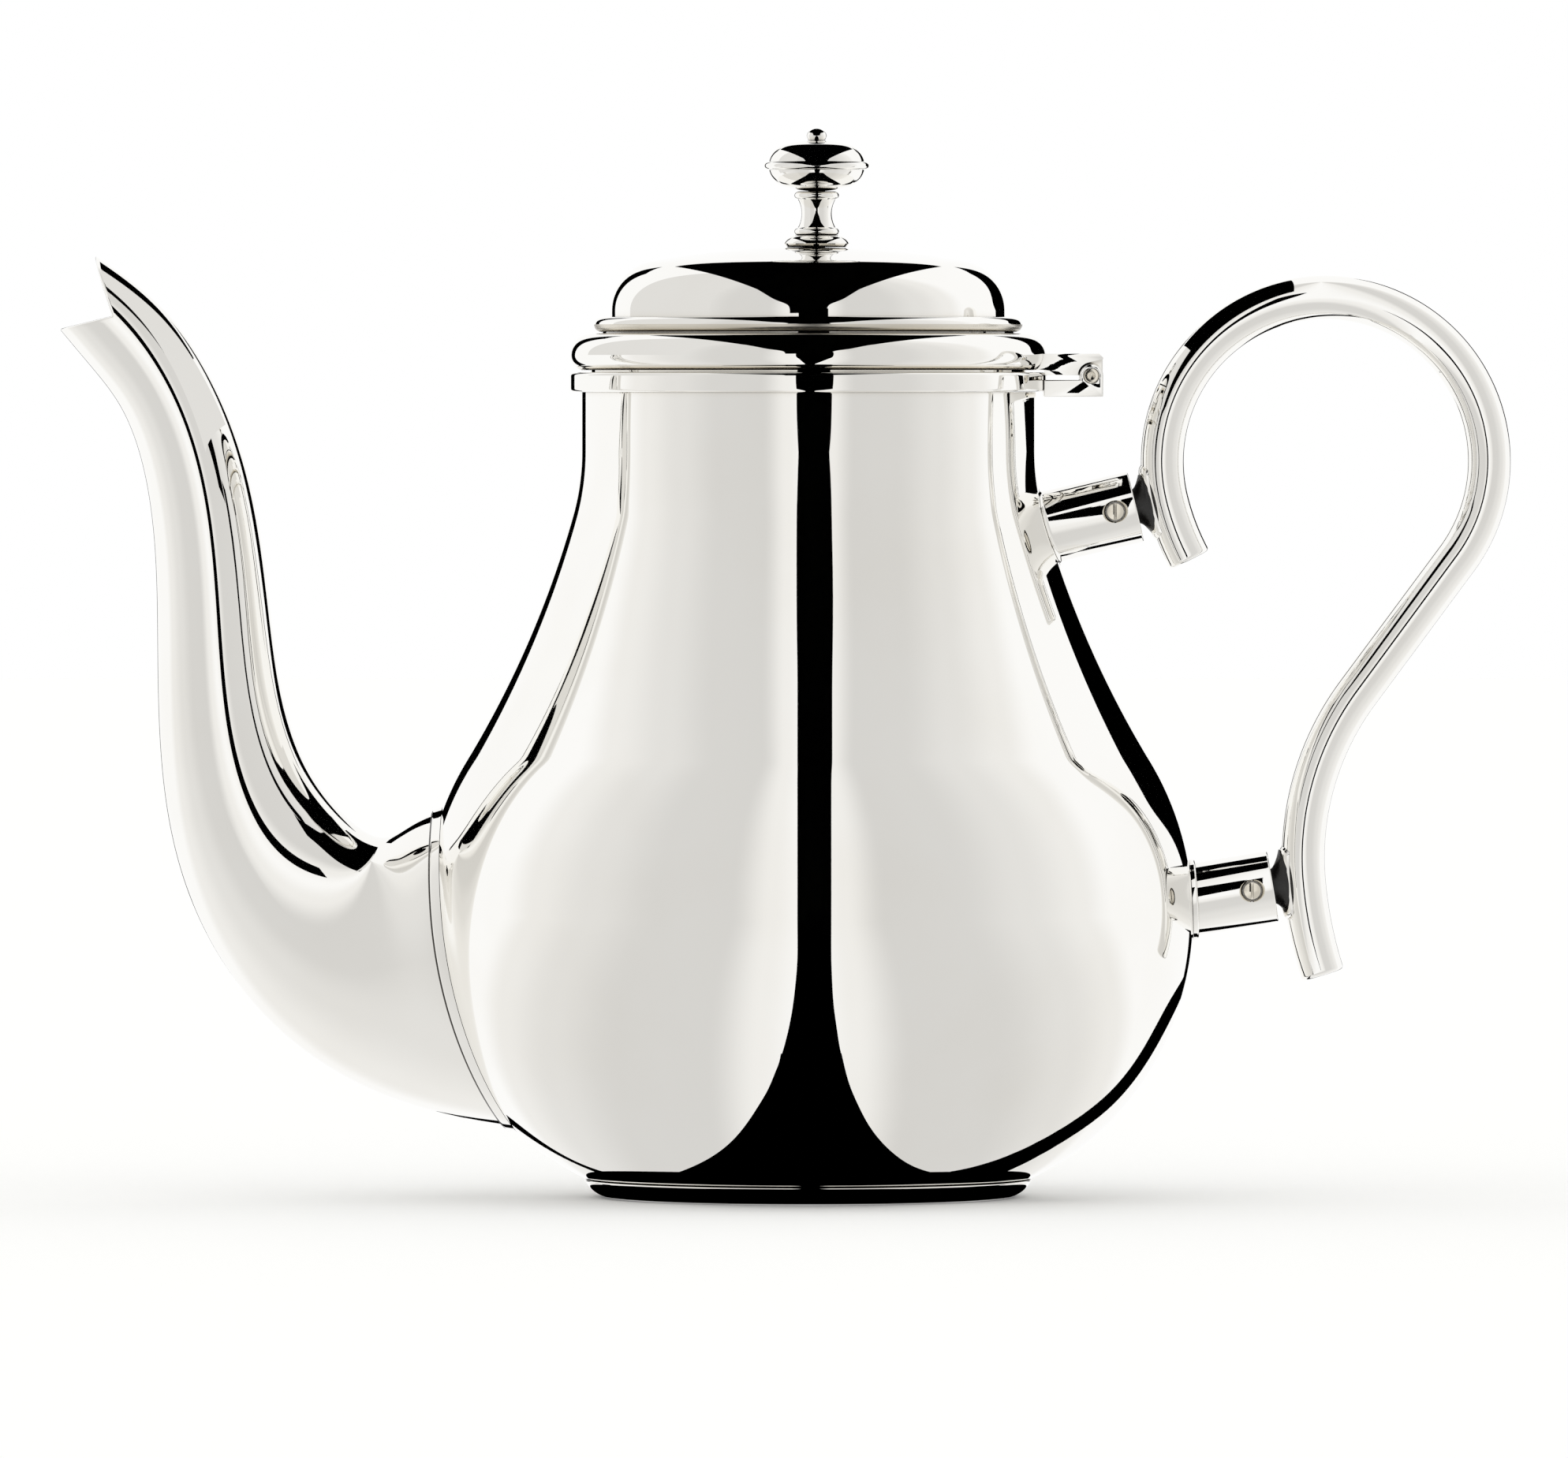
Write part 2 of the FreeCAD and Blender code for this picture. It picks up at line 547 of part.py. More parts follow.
def finial_nut():
    corner = NUT_FLATS / 2 / cos(radians(30))
    corners = [FreeCAD.Vector(corner * cos(radians(60 * i)), corner * sin(radians(60 * i)), NUT_Z)
               for i in range(7)]
    hexagon = Part.Face(Part.makePolygon(corners)).extrude(FreeCAD.Vector(0, 0, NUT_HEIGHT))
    return hexagon.cut(disc(FINIAL_STUD_R + SOLDER_GAP, NUT_Z, NUT_TOP_Z))


class Socket:
    """Place of one handle socket: its axis leaves the body at a height, at a tilt."""

    def __init__(self, height, tilt, length):
        self.root = point(body_radius(height), height)
        self.axis = point(cos(tilt), sin(tilt))
        self.end = self.root + self.axis * length
        self.length = length
        self.screw = self.end - self.axis * SCREW_SETBACK
        self.joint = self.end + self.axis * (STANDOFF + TUBE_R)

    def rod(self, radius, start, length):
        """Round bar on the axis, from a distance beyond the socket's end."""
        return Part.makeCylinder(radius, length, self.end + self.axis * start, self.axis)


UPPER = Socket(UPPER_SOCKET_Z, UPPER_SOCKET_TILT, UPPER_SOCKET_LENGTH)
LOWER = Socket(LOWER_SOCKET_Z, LOWER_SOCKET_TILT, LOWER_SOCKET_LENGTH)


def screw_rod(place, radius, near, far):
    """Round bar along Y at a socket's screw, between two depths from the socket's near side."""
    start = place.screw + FreeCAD.Vector(0, near - SOCKET_R, 0)
    return Part.makeCylinder(radius, far - near, start, ALONG_Y)


SCREW_SEAT = SCREW_HEAD_SINK + SCREW_HEAD_HEIGHT


def socket(place, ring_height):
    """Tube soldered to the body, with a recess for its screw."""
    root = place.length + SOCKET_R
    tube = place.rod(SOCKET_R, -root, root)
    if ring_height:
        skin = body_solid(ring_height, RIM_Z)
        tube = tube.fuse(place.rod(SOCKET_R + ring_height, -root, root).common(skin))
    bore = place.rod(SOCKET_R - SOCKET_WALL, -root, root)
    recess = screw_rod(place, SCREW_RECESS_R, -SOCKET_R, SCREW_SEAT)
    shank = screw_rod(place, SCREW_R + SOLDER_GAP, 0, SOCKET_R)
    return tube.cut(BODY_SKIN).cut(bore).cut(recess).cut(shank)


def socket_screw(place):
    """Slotted set screw whose tip bears on the handle's stud."""
    head = screw_rod(place, SCREW_HEAD_R, SCREW_HEAD_SINK, SCREW_SEAT)
    shank = screw_rod(place, SCREW_R, SCREW_HEAD_SINK, SOCKET_R - HANDLE_STUD_R - SOLDER_GAP)
    slot = Part.makeBox(2 * SCREW_HEAD_R, SCREW_HEAD_HEIGHT, SCREW_SLOT)
    slot.translate(place.screw + FreeCAD.Vector(-SCREW_HEAD_R, -SOCKET_R, -SCREW_SLOT / 2))
    slot.rotate(place.screw, ALONG_Y, 90)
    return head.fuse(shank).removeSplitter().cut(slot)


# Handle line: the loop, a straight run and a reverse bend that meets the lower socket
LOOP_CENTRE = UPPER.joint + UPPER.axis * LOOP_R
RUN_START = LOOP_CENTRE + point(cos(LOOP_LEAN), -sin(LOOP_LEAN)) * LOOP_R
RUN_WAY = point(-sin(LOOP_LEAN), -cos(LOOP_LEAN))
TAIL_WAY = point(sin(LOWER_LEAN), -cos(LOWER_LEAN))
ACROSS = LOWER.joint - RUN_START
MEETING = ((ACROSS.x * TAIL_WAY.z - ACROSS.z * TAIL_WAY.x)
           / (RUN_WAY.x * TAIL_WAY.z - RUN_WAY.z * TAIL_WAY.x))
CORNER = RUN_START + RUN_WAY * MEETING
BEND_REACH = (LOWER.joint - CORNER).Length
BEND_R = BEND_REACH / tan((LOOP_LEAN + LOWER_LEAN) / 2)
RUN_END = CORNER - RUN_WAY * BEND_REACH
INWARD = point(cos(LOWER_LEAN), sin(LOWER_LEAN))
BEND_CENTRE = LOWER.joint + INWARD * BEND_R


def handle_path(upper_end, lower_end):
    """Centre line of the tube between two distances from its closed ends."""
    upper_turn = radians(180) + UPPER_SOCKET_TILT
    lower_turn = radians(180) + LOWER_LEAN
    upper_end_turn = upper_turn + (UPPER_TAIL - upper_end) / UPPER_TAIL_ARC
    lower_end_turn = lower_turn + (LOWER_TAIL - lower_end) / LOWER_TAIL_ARC
    upper_tail_centre = UPPER.joint + UPPER.axis * UPPER_TAIL_ARC
    lower_tail_centre = LOWER.joint + INWARD * LOWER_TAIL_ARC
    return Part.Wire([slope_arc(upper_tail_centre, UPPER_TAIL_ARC, upper_end_turn, upper_turn),
                      slope_arc(LOOP_CENTRE, LOOP_R, upper_turn, -LOOP_LEAN),
                      line(RUN_START, RUN_END),
                      slope_arc(BEND_CENTRE, BEND_R, radians(180) - LOOP_LEAN, lower_turn),
                      slope_arc(lower_tail_centre, LOWER_TAIL_ARC, lower_turn, lower_end_turn)])


def path_ends(path):
    """Start and end of a path, each with the direction that leaves the tube."""
    first, last = path.Edges[0], path.Edges[-1]
    return ((first.valueAt(first.FirstParameter), first.tangentAt(first.FirstParameter) * -1),
            (last.valueAt(last.LastParameter), last.tangentAt(last.LastParameter)))


def sweep(path, radius):
    spot, way = path_ends(path)[0]
    circle = Part.Wire(Part.Circle(spot, way, radius).toShape())
    return path.makePipe(Part.Face(circle))


TUBE_PATH = handle_path(CAP_THICKNESS, CAP_THICKNESS)


def handle_tube():
    return sweep(TUBE_PATH, TUBE_R).cut(sweep(TUBE_PATH, TUBE_R - TUBE_WALL))


def handle_plug(end):
    """Closing cap with a rounded edge and a spigot inside the tube."""
    spot, way = path_ends(TUBE_PATH)[end]
    cap = Part.makeCylinder(TUBE_R, CAP_THICKNESS, spot, way)
    outer = spot + way * CAP_THICKNESS
    rim = [e for e in cap.Edges if (e.CenterOfMass - outer).Length < NEAR]
    cap = cap.makeFillet(CAP_ROUND, rim)
    spigot_r = TUBE_R - TUBE_WALL - RUNNING_GAP
    spigot = Part.makeCylinder(spigot_r, CAP_SPIGOT, spot - way * CAP_SPIGOT, way)
    return cap.fuse(spigot).removeSplitter()


HANDLE_SKIN = sweep(TUBE_PATH, TUBE_R + SOLDER_GAP)
SADDLE_SKIN = sweep(TUBE_PATH, TUBE_R + SADDLE_THICKNESS)
SADDLE_SEAT = sweep(TUBE_PATH, TUBE_R + SADDLE_THICKNESS + SOLDER_GAP)


def side_slab(half_width):
    """Everything near the handle that lies within half_width of the XZ plane."""
    span = 2 * (LOOP_R + TUBE_R)
    reach = UPPER.end.z + span
    return Part.makeBox(reach, 2 * half_width, reach, FreeCAD.Vector(0, -half_width, 0))


def insulator(place):
    """Plug in the socket, a short neck, and a flare that hugs the handle."""
    plug = place.rod(SOCKET_R - SOCKET_WALL - SOLDER_GAP, -PLUG_LENGTH, PLUG_LENGTH)
    neck = place.rod(INSULATOR_NECK_R, 0, INSULATOR_NECK)
    reach = STANDOFF + TUBE_R
    flare = Part.makeCone(INSULATOR_NECK_R, INSULATOR_FLARE_R, STANDOFF - INSULATOR_NECK,
                          place.end + place.axis * INSULATOR_NECK, place.axis)
    skirt = place.rod(INSULATOR_FLARE_R, STANDOFF, reach - STANDOFF)
    horn = flare.fuse(skirt).common(side_slab(INSULATOR_NECK_R))
    body = plug.fuse([neck, horn]).removeSplitter().cut(SADDLE_SEAT)
    stud_depth = HANDLE_STUD_REACH + SOLDER_GAP
    stud_hole = place.rod(HANDLE_STUD_R + SOLDER_GAP, -stud_depth, stud_depth + reach)
    screw_hole = screw_rod(place, SCREW_R + SOLDER_GAP, 0, SOCKET_R)
    return body.cut(stud_hole).cut(screw_hole)


def handle_stud(place):
    """Stud and saddle brazed to the handle."""
    reach = STANDOFF + TUBE_R
    pad = place.rod(INSULATOR_FLARE_R + SADDLE_LIP, 0, reach).common(SADDLE_SKIN)
    pad = pad.common(side_slab(INSULATOR_NECK_R))
    stud = place.rod(HANDLE_STUD_R, -HANDLE_STUD_REACH, HANDLE_STUD_REACH + reach)
    return pad.fuse(stud).removeSplitter().cut(HANDLE_SKIN)


NODES = {
    "body_shell": body_shell(),
    "foot_ring": foot_ring(),
    "rim_collar": rim_collar(),
    "spout": spout(),
    "spout_flange": spout_flange(),
    "upper_socket": socket(UPPER, 0),
    "lower_socket": socket(LOWER, SOCKET_RING),
    "upper_socket_screw": socket_screw(UPPER),
    "lower_socket_screw": socket_screw(LOWER),
    "upper_insulator": insulator(UPPER),
    "lower_insulator": insulator(LOWER),
    "upper_handle_stud": handle_stud(UPPER),
    "lower_handle_stud": handle_stud(LOWER),
    "handle_tube": handle_tube(),
    "handle_upper_plug": handle_plug(0),
    "handle_lower_plug": handle_plug(1),
    "hinge_body_leaf": hinge_body_leaf(),
    "hinge_pin": hinge_pin(),
    "hinge_lid_leaf": hinge_lid_leaf(),
    "lid_dome": lid_dome(),
    "lid_bezel": lid_bezel(),
    "finial_base": on_finial(finial_base()),
    "finial_stem": on_finial(finial_stem()),
    "finial_ball": on_finial(finial_ball()),
    "finial_tip": on_finial(finial_tip()),
    "finial_stud": on_finial(finial_stud()),
    "finial_washer": on_finial(finial_washer()),
    "finial_nut": on_finial(finial_nut()),
}

os.makedirs("parts", exist_ok=True)
for name, shape in NODES.items():
    print(f"{name:20s} solids {len(shape.Solids)} valid {shape.isValid()} volume {shape.Volume:10.2f}")
    shape.exportStep(f"parts/{name}.step")
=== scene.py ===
# %% [markdown]
# A silver-plated coffee pot on a white table: a pear-shaped body, a swan-neck spout, a hinged lid with a
# turned finial and a handle of bent tube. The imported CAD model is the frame. Every piece below stands where
# that model says, in metres, with +Z up, the spout towards -X and the handle towards +X.

# %% Load the frame
import json
from math import acos, asin, cos, hypot, pi, radians, sin, sqrt, tan

import bmesh
import bpy
import numpy as np
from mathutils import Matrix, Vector
from numpy.linalg import norm

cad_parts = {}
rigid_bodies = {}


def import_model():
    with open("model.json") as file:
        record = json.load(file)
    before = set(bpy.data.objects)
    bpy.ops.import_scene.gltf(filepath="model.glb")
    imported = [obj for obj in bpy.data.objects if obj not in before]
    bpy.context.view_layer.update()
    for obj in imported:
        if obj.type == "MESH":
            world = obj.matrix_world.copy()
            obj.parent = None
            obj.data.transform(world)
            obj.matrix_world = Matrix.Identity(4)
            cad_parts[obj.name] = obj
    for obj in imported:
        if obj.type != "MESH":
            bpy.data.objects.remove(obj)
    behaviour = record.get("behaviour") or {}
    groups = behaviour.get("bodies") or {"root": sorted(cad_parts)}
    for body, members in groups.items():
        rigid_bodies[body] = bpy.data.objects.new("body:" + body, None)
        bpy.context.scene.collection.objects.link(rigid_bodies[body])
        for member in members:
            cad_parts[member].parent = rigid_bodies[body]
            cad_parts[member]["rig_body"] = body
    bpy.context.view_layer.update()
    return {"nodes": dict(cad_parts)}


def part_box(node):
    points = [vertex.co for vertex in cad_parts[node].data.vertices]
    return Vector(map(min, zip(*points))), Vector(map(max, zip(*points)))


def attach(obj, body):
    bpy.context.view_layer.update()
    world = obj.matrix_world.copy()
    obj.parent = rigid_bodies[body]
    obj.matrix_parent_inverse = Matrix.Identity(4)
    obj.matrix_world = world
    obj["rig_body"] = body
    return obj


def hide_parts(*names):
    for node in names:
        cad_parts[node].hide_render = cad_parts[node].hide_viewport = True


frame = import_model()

MM = 0.001
nodes = frame["nodes"]

# %% [markdown]
# The photograph looks at the pot's side from some metres away, a little above the middle: upright lines stay
# upright, and the foot and the lid show almost no ovals. A wide lens close by would swell the belly, so the
# camera has a long lens, and its focal length follows from the width that the picture spans at the pot.

# %% Camera
PICTURE_WIDTH = 278.3 * MM
AIM = Vector((-4.3, 0, 83.1)) * MM
CAMERA_DISTANCE = 3450 * MM
CAMERA_HEIGHT = 145 * MM
CLIP_END = 20.0

camera = bpy.data.objects.new("camera", bpy.data.cameras.new("camera"))
bpy.context.scene.collection.objects.link(camera)
camera.location = (AIM.x, -CAMERA_DISTANCE, CAMERA_HEIGHT)
sight = AIM - camera.location
camera.rotation_mode = "QUATERNION"
camera.rotation_quaternion = sight.to_track_quat("-Z", "Y")
camera.data.lens = camera.data.sensor_width * sight.length / PICTURE_WIDTH
camera.data.clip_end = CLIP_END
bpy.context.scene.camera = camera
bpy.context.scene.view_settings.view_transform = "Standard"
print("lens in mm:", round(camera.data.lens, 1))

# %% [markdown]
# Materials and light are node trees. Two helpers are enough for all of them: one turns the hex colour of a
# paint chart into the linear light that a renderer counts in, the other adds a node with its settings and
# links.

# %% Colours and nodes
def linear(colour):
    """Linear RGBA of an sRGB hex colour."""
    parts = [int(colour[i:i + 2], 16) / 255 for i in (0, 2, 4)]
    return [c / 12.92 if c <= 0.04045 else ((c + 0.055) / 1.055) ** 2.4 for c in parts] + [1]


def add(tree, kind, inputs=None, **settings):
    """Add a node; each input takes a value or a link from another node's first or named output."""
    node = tree.nodes.new("ShaderNode" + kind)
    for key, value in settings.items():
        setattr(node, key, value)
    for key, value in (inputs or {}).items():
        if isinstance(value, bpy.types.Node):
            value = value.outputs[0]
        if isinstance(value, bpy.types.NodeSocket):
            tree.links.new(value, node.inputs[key])
        else:
            node.inputs[key].default_value = value
    return node


def new_tree(owner):
    owner.use_nodes = True
    owner.node_tree.nodes.clear()
    return owner.node_tree


def set_stops(ramp, stops):
    """Give a colour ramp its stops: a place from 0 to 1 and a colour."""
    elements = ramp.color_ramp.elements
    while len(elements) < len(stops):
        elements.new(1)
    for element, (place, colour) in zip(elements, stops):
        element.position = place
        element.color = linear(colour)


# %% [markdown]
# Polished silver has hardly a colour of its own: what the eye sees is the room. In the photograph that room is
# a white tent, a little greyer beside the lens than near its seams and white behind the pot. The world is that
# tent: plain white for the camera and for soft light, and for mirror rays a band of soft greys that follows
# the compass angle away from the lens.

# %% White tent
TENT_GREYS = ((0.0, "FFFFFF"), (0.06, "F4F3F1"), (0.13, "D9D8D6"), (0.25, "DAD9D7"), (0.38, "E6E5E3"),
              (0.50, "F2F1EF"), (0.58, "FFFFFF"))


def tent_colour(tree, way):
    """Grey of the tent in a direction, or at a place on the floor: only its angle from the lens counts."""
    axes = add(tree, "SeparateXYZ", {0: way})
    front = add(tree, "Math", {0: axes.outputs["Y"], 1: -1.0}, operation="MULTIPLY")
    turn = add(tree, "Math", {0: axes.outputs["X"], 1: front}, operation="ARCTAN2")
    size = add(tree, "Math", {0: turn}, operation="ABSOLUTE")
    share = add(tree, "Math", {0: size, 1: pi}, operation="DIVIDE")
    ramp = add(tree, "ValToRGB", {"Fac": share})
    ramp.color_ramp.interpolation = "EASE"
    set_stops(ramp, TENT_GREYS)
    return ramp


world = bpy.data.worlds.new("white_tent")
bpy.context.scene.world = world
tree = new_tree(world)
ray = add(tree, "LightPath")
cloth = tent_colour(tree, add(tree, "TexCoord").outputs["Generated"])
plain = add(tree, "Background", {"Color": linear("FFFFFF"), "Strength": 1.0})
mirrored = add(tree, "Background", {"Color": cloth, "Strength": 1.0})
tent = add(tree, "MixShader", {0: ray.outputs["Is Glossy Ray"], 1: plain, 2: mirrored})
add(tree, "OutputWorld", {"Surface": tent})
print("tent stops:", len(TENT_GREYS))

# %% [markdown]
# The table is a sheet of white paper. Its own diffuse colour keeps the pot's soft shadow, and a little glow
# for the camera brings the paper up to the white of the background. In the silver the paper has the tent's
# greys, so that no line shows where the table ends.

# %% Paper table
FLOOR_HALF = 6.0
PAPER = "F2F2F0"
PAPER_GLOW = 0.12


def mesh_object(name, points, faces):
    """A new mesh object in the scene."""
    mesh = bpy.data.meshes.new(name)
    mesh.from_pydata([tuple(p) for p in points], [], faces)
    made = bpy.data.objects.new(name, mesh)
    bpy.context.scene.collection.objects.link(made)
    return made


corners = [(sx * FLOOR_HALF, sy * FLOOR_HALF, 0) for sx, sy in ((-1, -1), (1, -1), (1, 1), (-1, 1))]
table = mesh_object("table", corners, [(0, 1, 2, 3)])
paper = bpy.data.materials.new("white_paper")
tree = new_tree(paper)
ray = add(tree, "LightPath")
seen = add(tree, "Math", {0: ray.outputs["Is Camera Ray"], 1: ray.outputs["Is Transmission Ray"]},
           operation="MAXIMUM")
glow = add(tree, "Math", {0: seen, 1: PAPER_GLOW}, operation="MULTIPLY")
sheet = add(tree, "BsdfPrincipled", {"Base Color": linear(PAPER), "Roughness": 1.0, "Specular IOR Level": 0.0,
                                     "Emission Color": linear("FFFFFF"), "Emission Strength": glow})
cloth = tent_colour(tree, add(tree, "NewGeometry").outputs["Position"])
mirrored = add(tree, "Emission", {"Color": cloth, "Strength": 1.0})
surface = add(tree, "MixShader", {0: ray.outputs["Is Glossy Ray"], 1: sheet, 2: mirrored})
add(tree, "OutputMaterial", {"Surface": surface})
table.data.materials.append(paper)
print("paper:", PAPER)

# %% [markdown]
# Whoever photographs silver hangs black cards round it, so that white metal gets dark lines on a white ground.
# The cards here do the same work. They belong to the set, not to the pot, and only reflections see them: the
# camera, the soft light and the shadows don't. Their places are in mm, and their long edges are smooth curves,
# since a mirror would show each kink.

# %% Cards
def smooth_curve(knots, values, at):
    """Natural cubic curve through values at knots: its curvature has no jumps, so reflections don't kink."""
    knots, values, at = (np.asarray(v, float) for v in (knots, values, at))
    steps = np.diff(knots)
    rises = np.diff(values, axis=0) / steps.reshape((-1,) + (1,) * (values.ndim - 1))
    system = np.diag(np.r_[1, 2 * (steps[:-1] + steps[1:]), 1])
    for i in range(1, len(knots) - 1):
        system[i, i - 1], system[i, i + 1] = steps[i - 1], steps[i]
    ends = np.zeros_like(values[:1])
    bends = np.linalg.solve(system, np.concatenate([ends, 6 * np.diff(rises, axis=0), ends]))
    i = np.clip(np.searchsorted(knots, at) - 1, 0, len(steps) - 1)
    shape = (-1,) + (1,) * (values.ndim - 1)
    h = steps[i].reshape(shape)
    a = (knots[i + 1] - at).reshape(shape) / h
    b = 1 - a
    return (a * values[i] + b * values[i + 1]
            + ((a ** 3 - a) * bends[i] + (b ** 3 - b) * bends[i + 1]) * h ** 2 / 6)


def lengths(points):
    """Distance of each point from the first one, along the line of points."""
    return np.r_[0, np.cumsum(norm(np.diff(points, axis=0), axis=1))]


def through(corners, count=60):
    """Evenly spread points on a smooth curve through a few corners."""
    corners = np.asarray(corners, float)
    knots = lengths(corners)
    return smooth_curve(knots, corners, np.linspace(0, knots[-1], count))


# velvet: woven with a cut pile, which swallows light
velvet = bpy.data.materials.new("black_velvet")
tree = new_tree(velvet)
add(tree, "OutputMaterial", {"Surface": add(tree, "BsdfDiffuse", {"Color": linear("000000")})})
# muslin: plain-woven cotton, bleached, with the lamps shining through it
muslin = bpy.data.materials.new("white_muslin")
tree = new_tree(muslin)
add(tree, "OutputMaterial", {"Surface": add(tree, "Emission", {"Color": linear("E4E3E1"), "Strength": 1.0})})
print("cloths:", velvet.name, muslin.name)


def card(name, left, right, cloth=velvet):
    """Card of one cloth between two edges, which are rows of as many points in mm."""
    points = [Vector(p) * MM for p in list(left) + list(right)]
    count = len(left)
    faces = [(i, i + 1, count + i + 1, count + i) for i in range(count - 1)]
    made = mesh_object(name, points, faces)
    made.data.materials.append(cloth)
    for rays in ("camera", "diffuse", "shadow", "transmission", "volume_scatter"):
        setattr(made, "visible_" + rays, False)
    return made


def upright(name, y, heights, left, right):
    """Card that stands at a depth y: the places of its two sides at some heights."""
    z = np.linspace(heights[0], heights[-1], 60)
    edges = [[(x, y, h) for x, h in zip(smooth_curve(heights, side, z), z)] for side in (left, right)]
    return card(name, *edges)


def flat_card(name, z, left, right):
    """Card that lies at a height z, between two smooth edges of (x, y) corners."""
    return card(name, *[[(x, y, z) for x, y in through(side)] for side in (left, right)])


# %% [markdown]
# A black stripe runs down the middle of the pot: the gap that a tent leaves for the lens. Above and below the
# belly the body draws back from the slit and mirrors it smaller, so the slit is narrowest in front of the belly
# and wider at both ends. A second slit, far off, is what the spout, the handle and the hinge see of the gap.

# %% Slits in front
SLIT_Y = -80
SLIT_HEIGHTS = (0, 11, 19, 25.5, 31, 36, 40.6, 49, 57.5, 66, 76.7, 90.6, 100, 113, 121.5, 128, 133, 138, 144,
                152, 161)
SLIT_LEFT = (-9.1, -6.8, -5.3, -4.25, -3.55, -3.05, -2.7, -2.62, -2.65, -2.73, -2.9, -3.21, -3.47, -3.85, -4.27,
             -4.7, -5.3, -5.75, -6.15, -6.2, -6.2)
SLIT_RIGHT = (10.85, 8.75, 7.55, 6.6, 6, 5.65, 5.4, 5.3, 5.36, 5.54, 5.9, 6.57, 7.14, 8.24, 9.18, 10.1, 11.1,
              11.9, 12.3, 12.6, 12.6)
upright("slit", SLIT_Y, SLIT_HEIGHTS, SLIT_LEFT, SLIT_RIGHT)
FAR_SLIT_Y, FAR_SLIT_TOP = -700, 580
FAR_SLIT_LEFT, FAR_SLIT_RIGHT = -20, 64
upright("far_slit", FAR_SLIT_Y, (0, FAR_SLIT_TOP / 2, FAR_SLIT_TOP), [FAR_SLIT_LEFT] * 3, [FAR_SLIT_RIGHT] * 3)
print("slit is narrowest at a height of", SLIT_HEIGHTS[int(np.argmin(np.subtract(SLIT_RIGHT, SLIT_LEFT)))], "mm")

# %% [markdown]
# Under the belly the pot mirrors the table. Black paper there makes the stripe flare out above the foot, and two
# branches that run back on either side draw the dark line along the lower edge of the belly. A ring of it
# darkens the foot.

# %% Black paper on the table
CARD_Z = 0.2
RING_IN, RING_OUT = 30, 41.4
flat_card("table_stem", CARD_Z,
          [(-9.1, -84), (-9.1, -80), (-9.7, -74.7), (-10.7, -67.5), (-12.2, -61), (-13.8, -55), (-15.8, -49),
           (-18.8, -42.7), (-22.1, -37.2), (-26, -31)],
          [(10.85, -84), (10.85, -80), (10.9, -74.7), (11.3, -67.5), (12.2, -61), (13.3, -55), (14.9, -49.4),
           (17.4, -43.3), (20.1, -38.4), (26, -31)])
flat_card("table_branch_left", CARD_Z, [(-25, -32), (-46.7, -3.3), (-64, 30), (-69.5, 60), (-68, 150)],
          [(-25, -26), (-40, -10), (-56.7, 26.7), (-64, 80), (-65, 150)])
flat_card("table_branch_right", CARD_Z, [(27, -31.5), (50, -16.7), (76.7, 13.3), (121.7, 75), (200, 400)],
          [(27, -24), (46.7, -10), (70, 26.7), (110, 120), (150, 400)])
turns = np.linspace(0, 2 * pi, 121)
card("table_ring", *[[(r * cos(a), r * sin(a), CARD_Z) for a in turns] for r in (RING_IN, RING_OUT)])
print("ring of paper:", RING_OUT - RING_IN, "mm wide")

# %% [markdown]
# A hood with a narrow front that opens upwards gives the lid and the finial their dark crowns. At its left hangs
# a white cloth, so that the spout doesn't mirror the hood as well. Behind the pot, out of the lens's way, one
# card on each side draws the dark edge of a flank. The right one is wider, since that band is broader.

# %% Hood and cards behind
HOOD_Y, HOOD_Z, HOOD_BACK = -100, 266, 125
HOOD_HEIGHTS = (157.5, 168, 175, 183, 192, 201, 214, 230, 250, HOOD_Z)
HOOD_HALF = (15.5, 16.5, 19, 25, 31.5, 36.5, 43, 51, 61, 70)
upright("hood_front", HOOD_Y, HOOD_HEIGHTS, [-half for half in HOOD_HALF], HOOD_HALF)
flat_card("hood_roof", HOOD_Z, [(-HOOD_HALF[-1], HOOD_Y), (-HOOD_HALF[-1], HOOD_BACK)],
          [(HOOD_HALF[-1], HOOD_Y), (HOOD_HALF[-1], HOOD_BACK)])

APRON_X, APRON_Y, APRON_Z = -HOOD_HALF[-1] - 2, (-62, 16), (150, HOOD_Z + 5)
card("hood_apron", *[[(APRON_X, y, z) for y in APRON_Y] for z in APRON_Z], muslin)
BACK_Y, BACK_TOP, BACK_NEAR, BACK_FAR = 400, 400, 146, 230
upright("back_left", BACK_Y, (0, BACK_TOP / 2, BACK_TOP), [-BACK_FAR] * 3, [-BACK_NEAR] * 3)
upright("back_right", BACK_Y, (0, 60, 120, 200, 300, BACK_TOP), [BACK_NEAR] * 6,
        (200, 225, 300, 390, 330, BACK_FAR))

# %% [markdown]
# Silver plate, spun or raised, then mopped to a mirror. The eye gets sharp reflections, faint hairlines left by
# the mop, slow waves of the hand-finished sheet, and in corners that the cloth misses a breath of warm tarnish.
# The tightest grooves get painted shade, near black. Hairlines are 0.05 mm apart on the real pot and are drawn
# at 0.5 mm to show at all. The seam strip's rounded top edge gets a painted dark reflection line, in a dark metal.

# %% Silver plate
HAIRLINE = 0.5 * MM
WAVE = 18 * MM
WAVE_HEIGHT = 0.004 * MM
BREATH = 35 * MM
CORNER_REACH = 2.5 * MM
GROOVE_REACH = 0.7 * MM
# painted shade: the near-black colour that the tightest grooves are darkened to
GROOVE_SHADE_BLACK = "201C18"


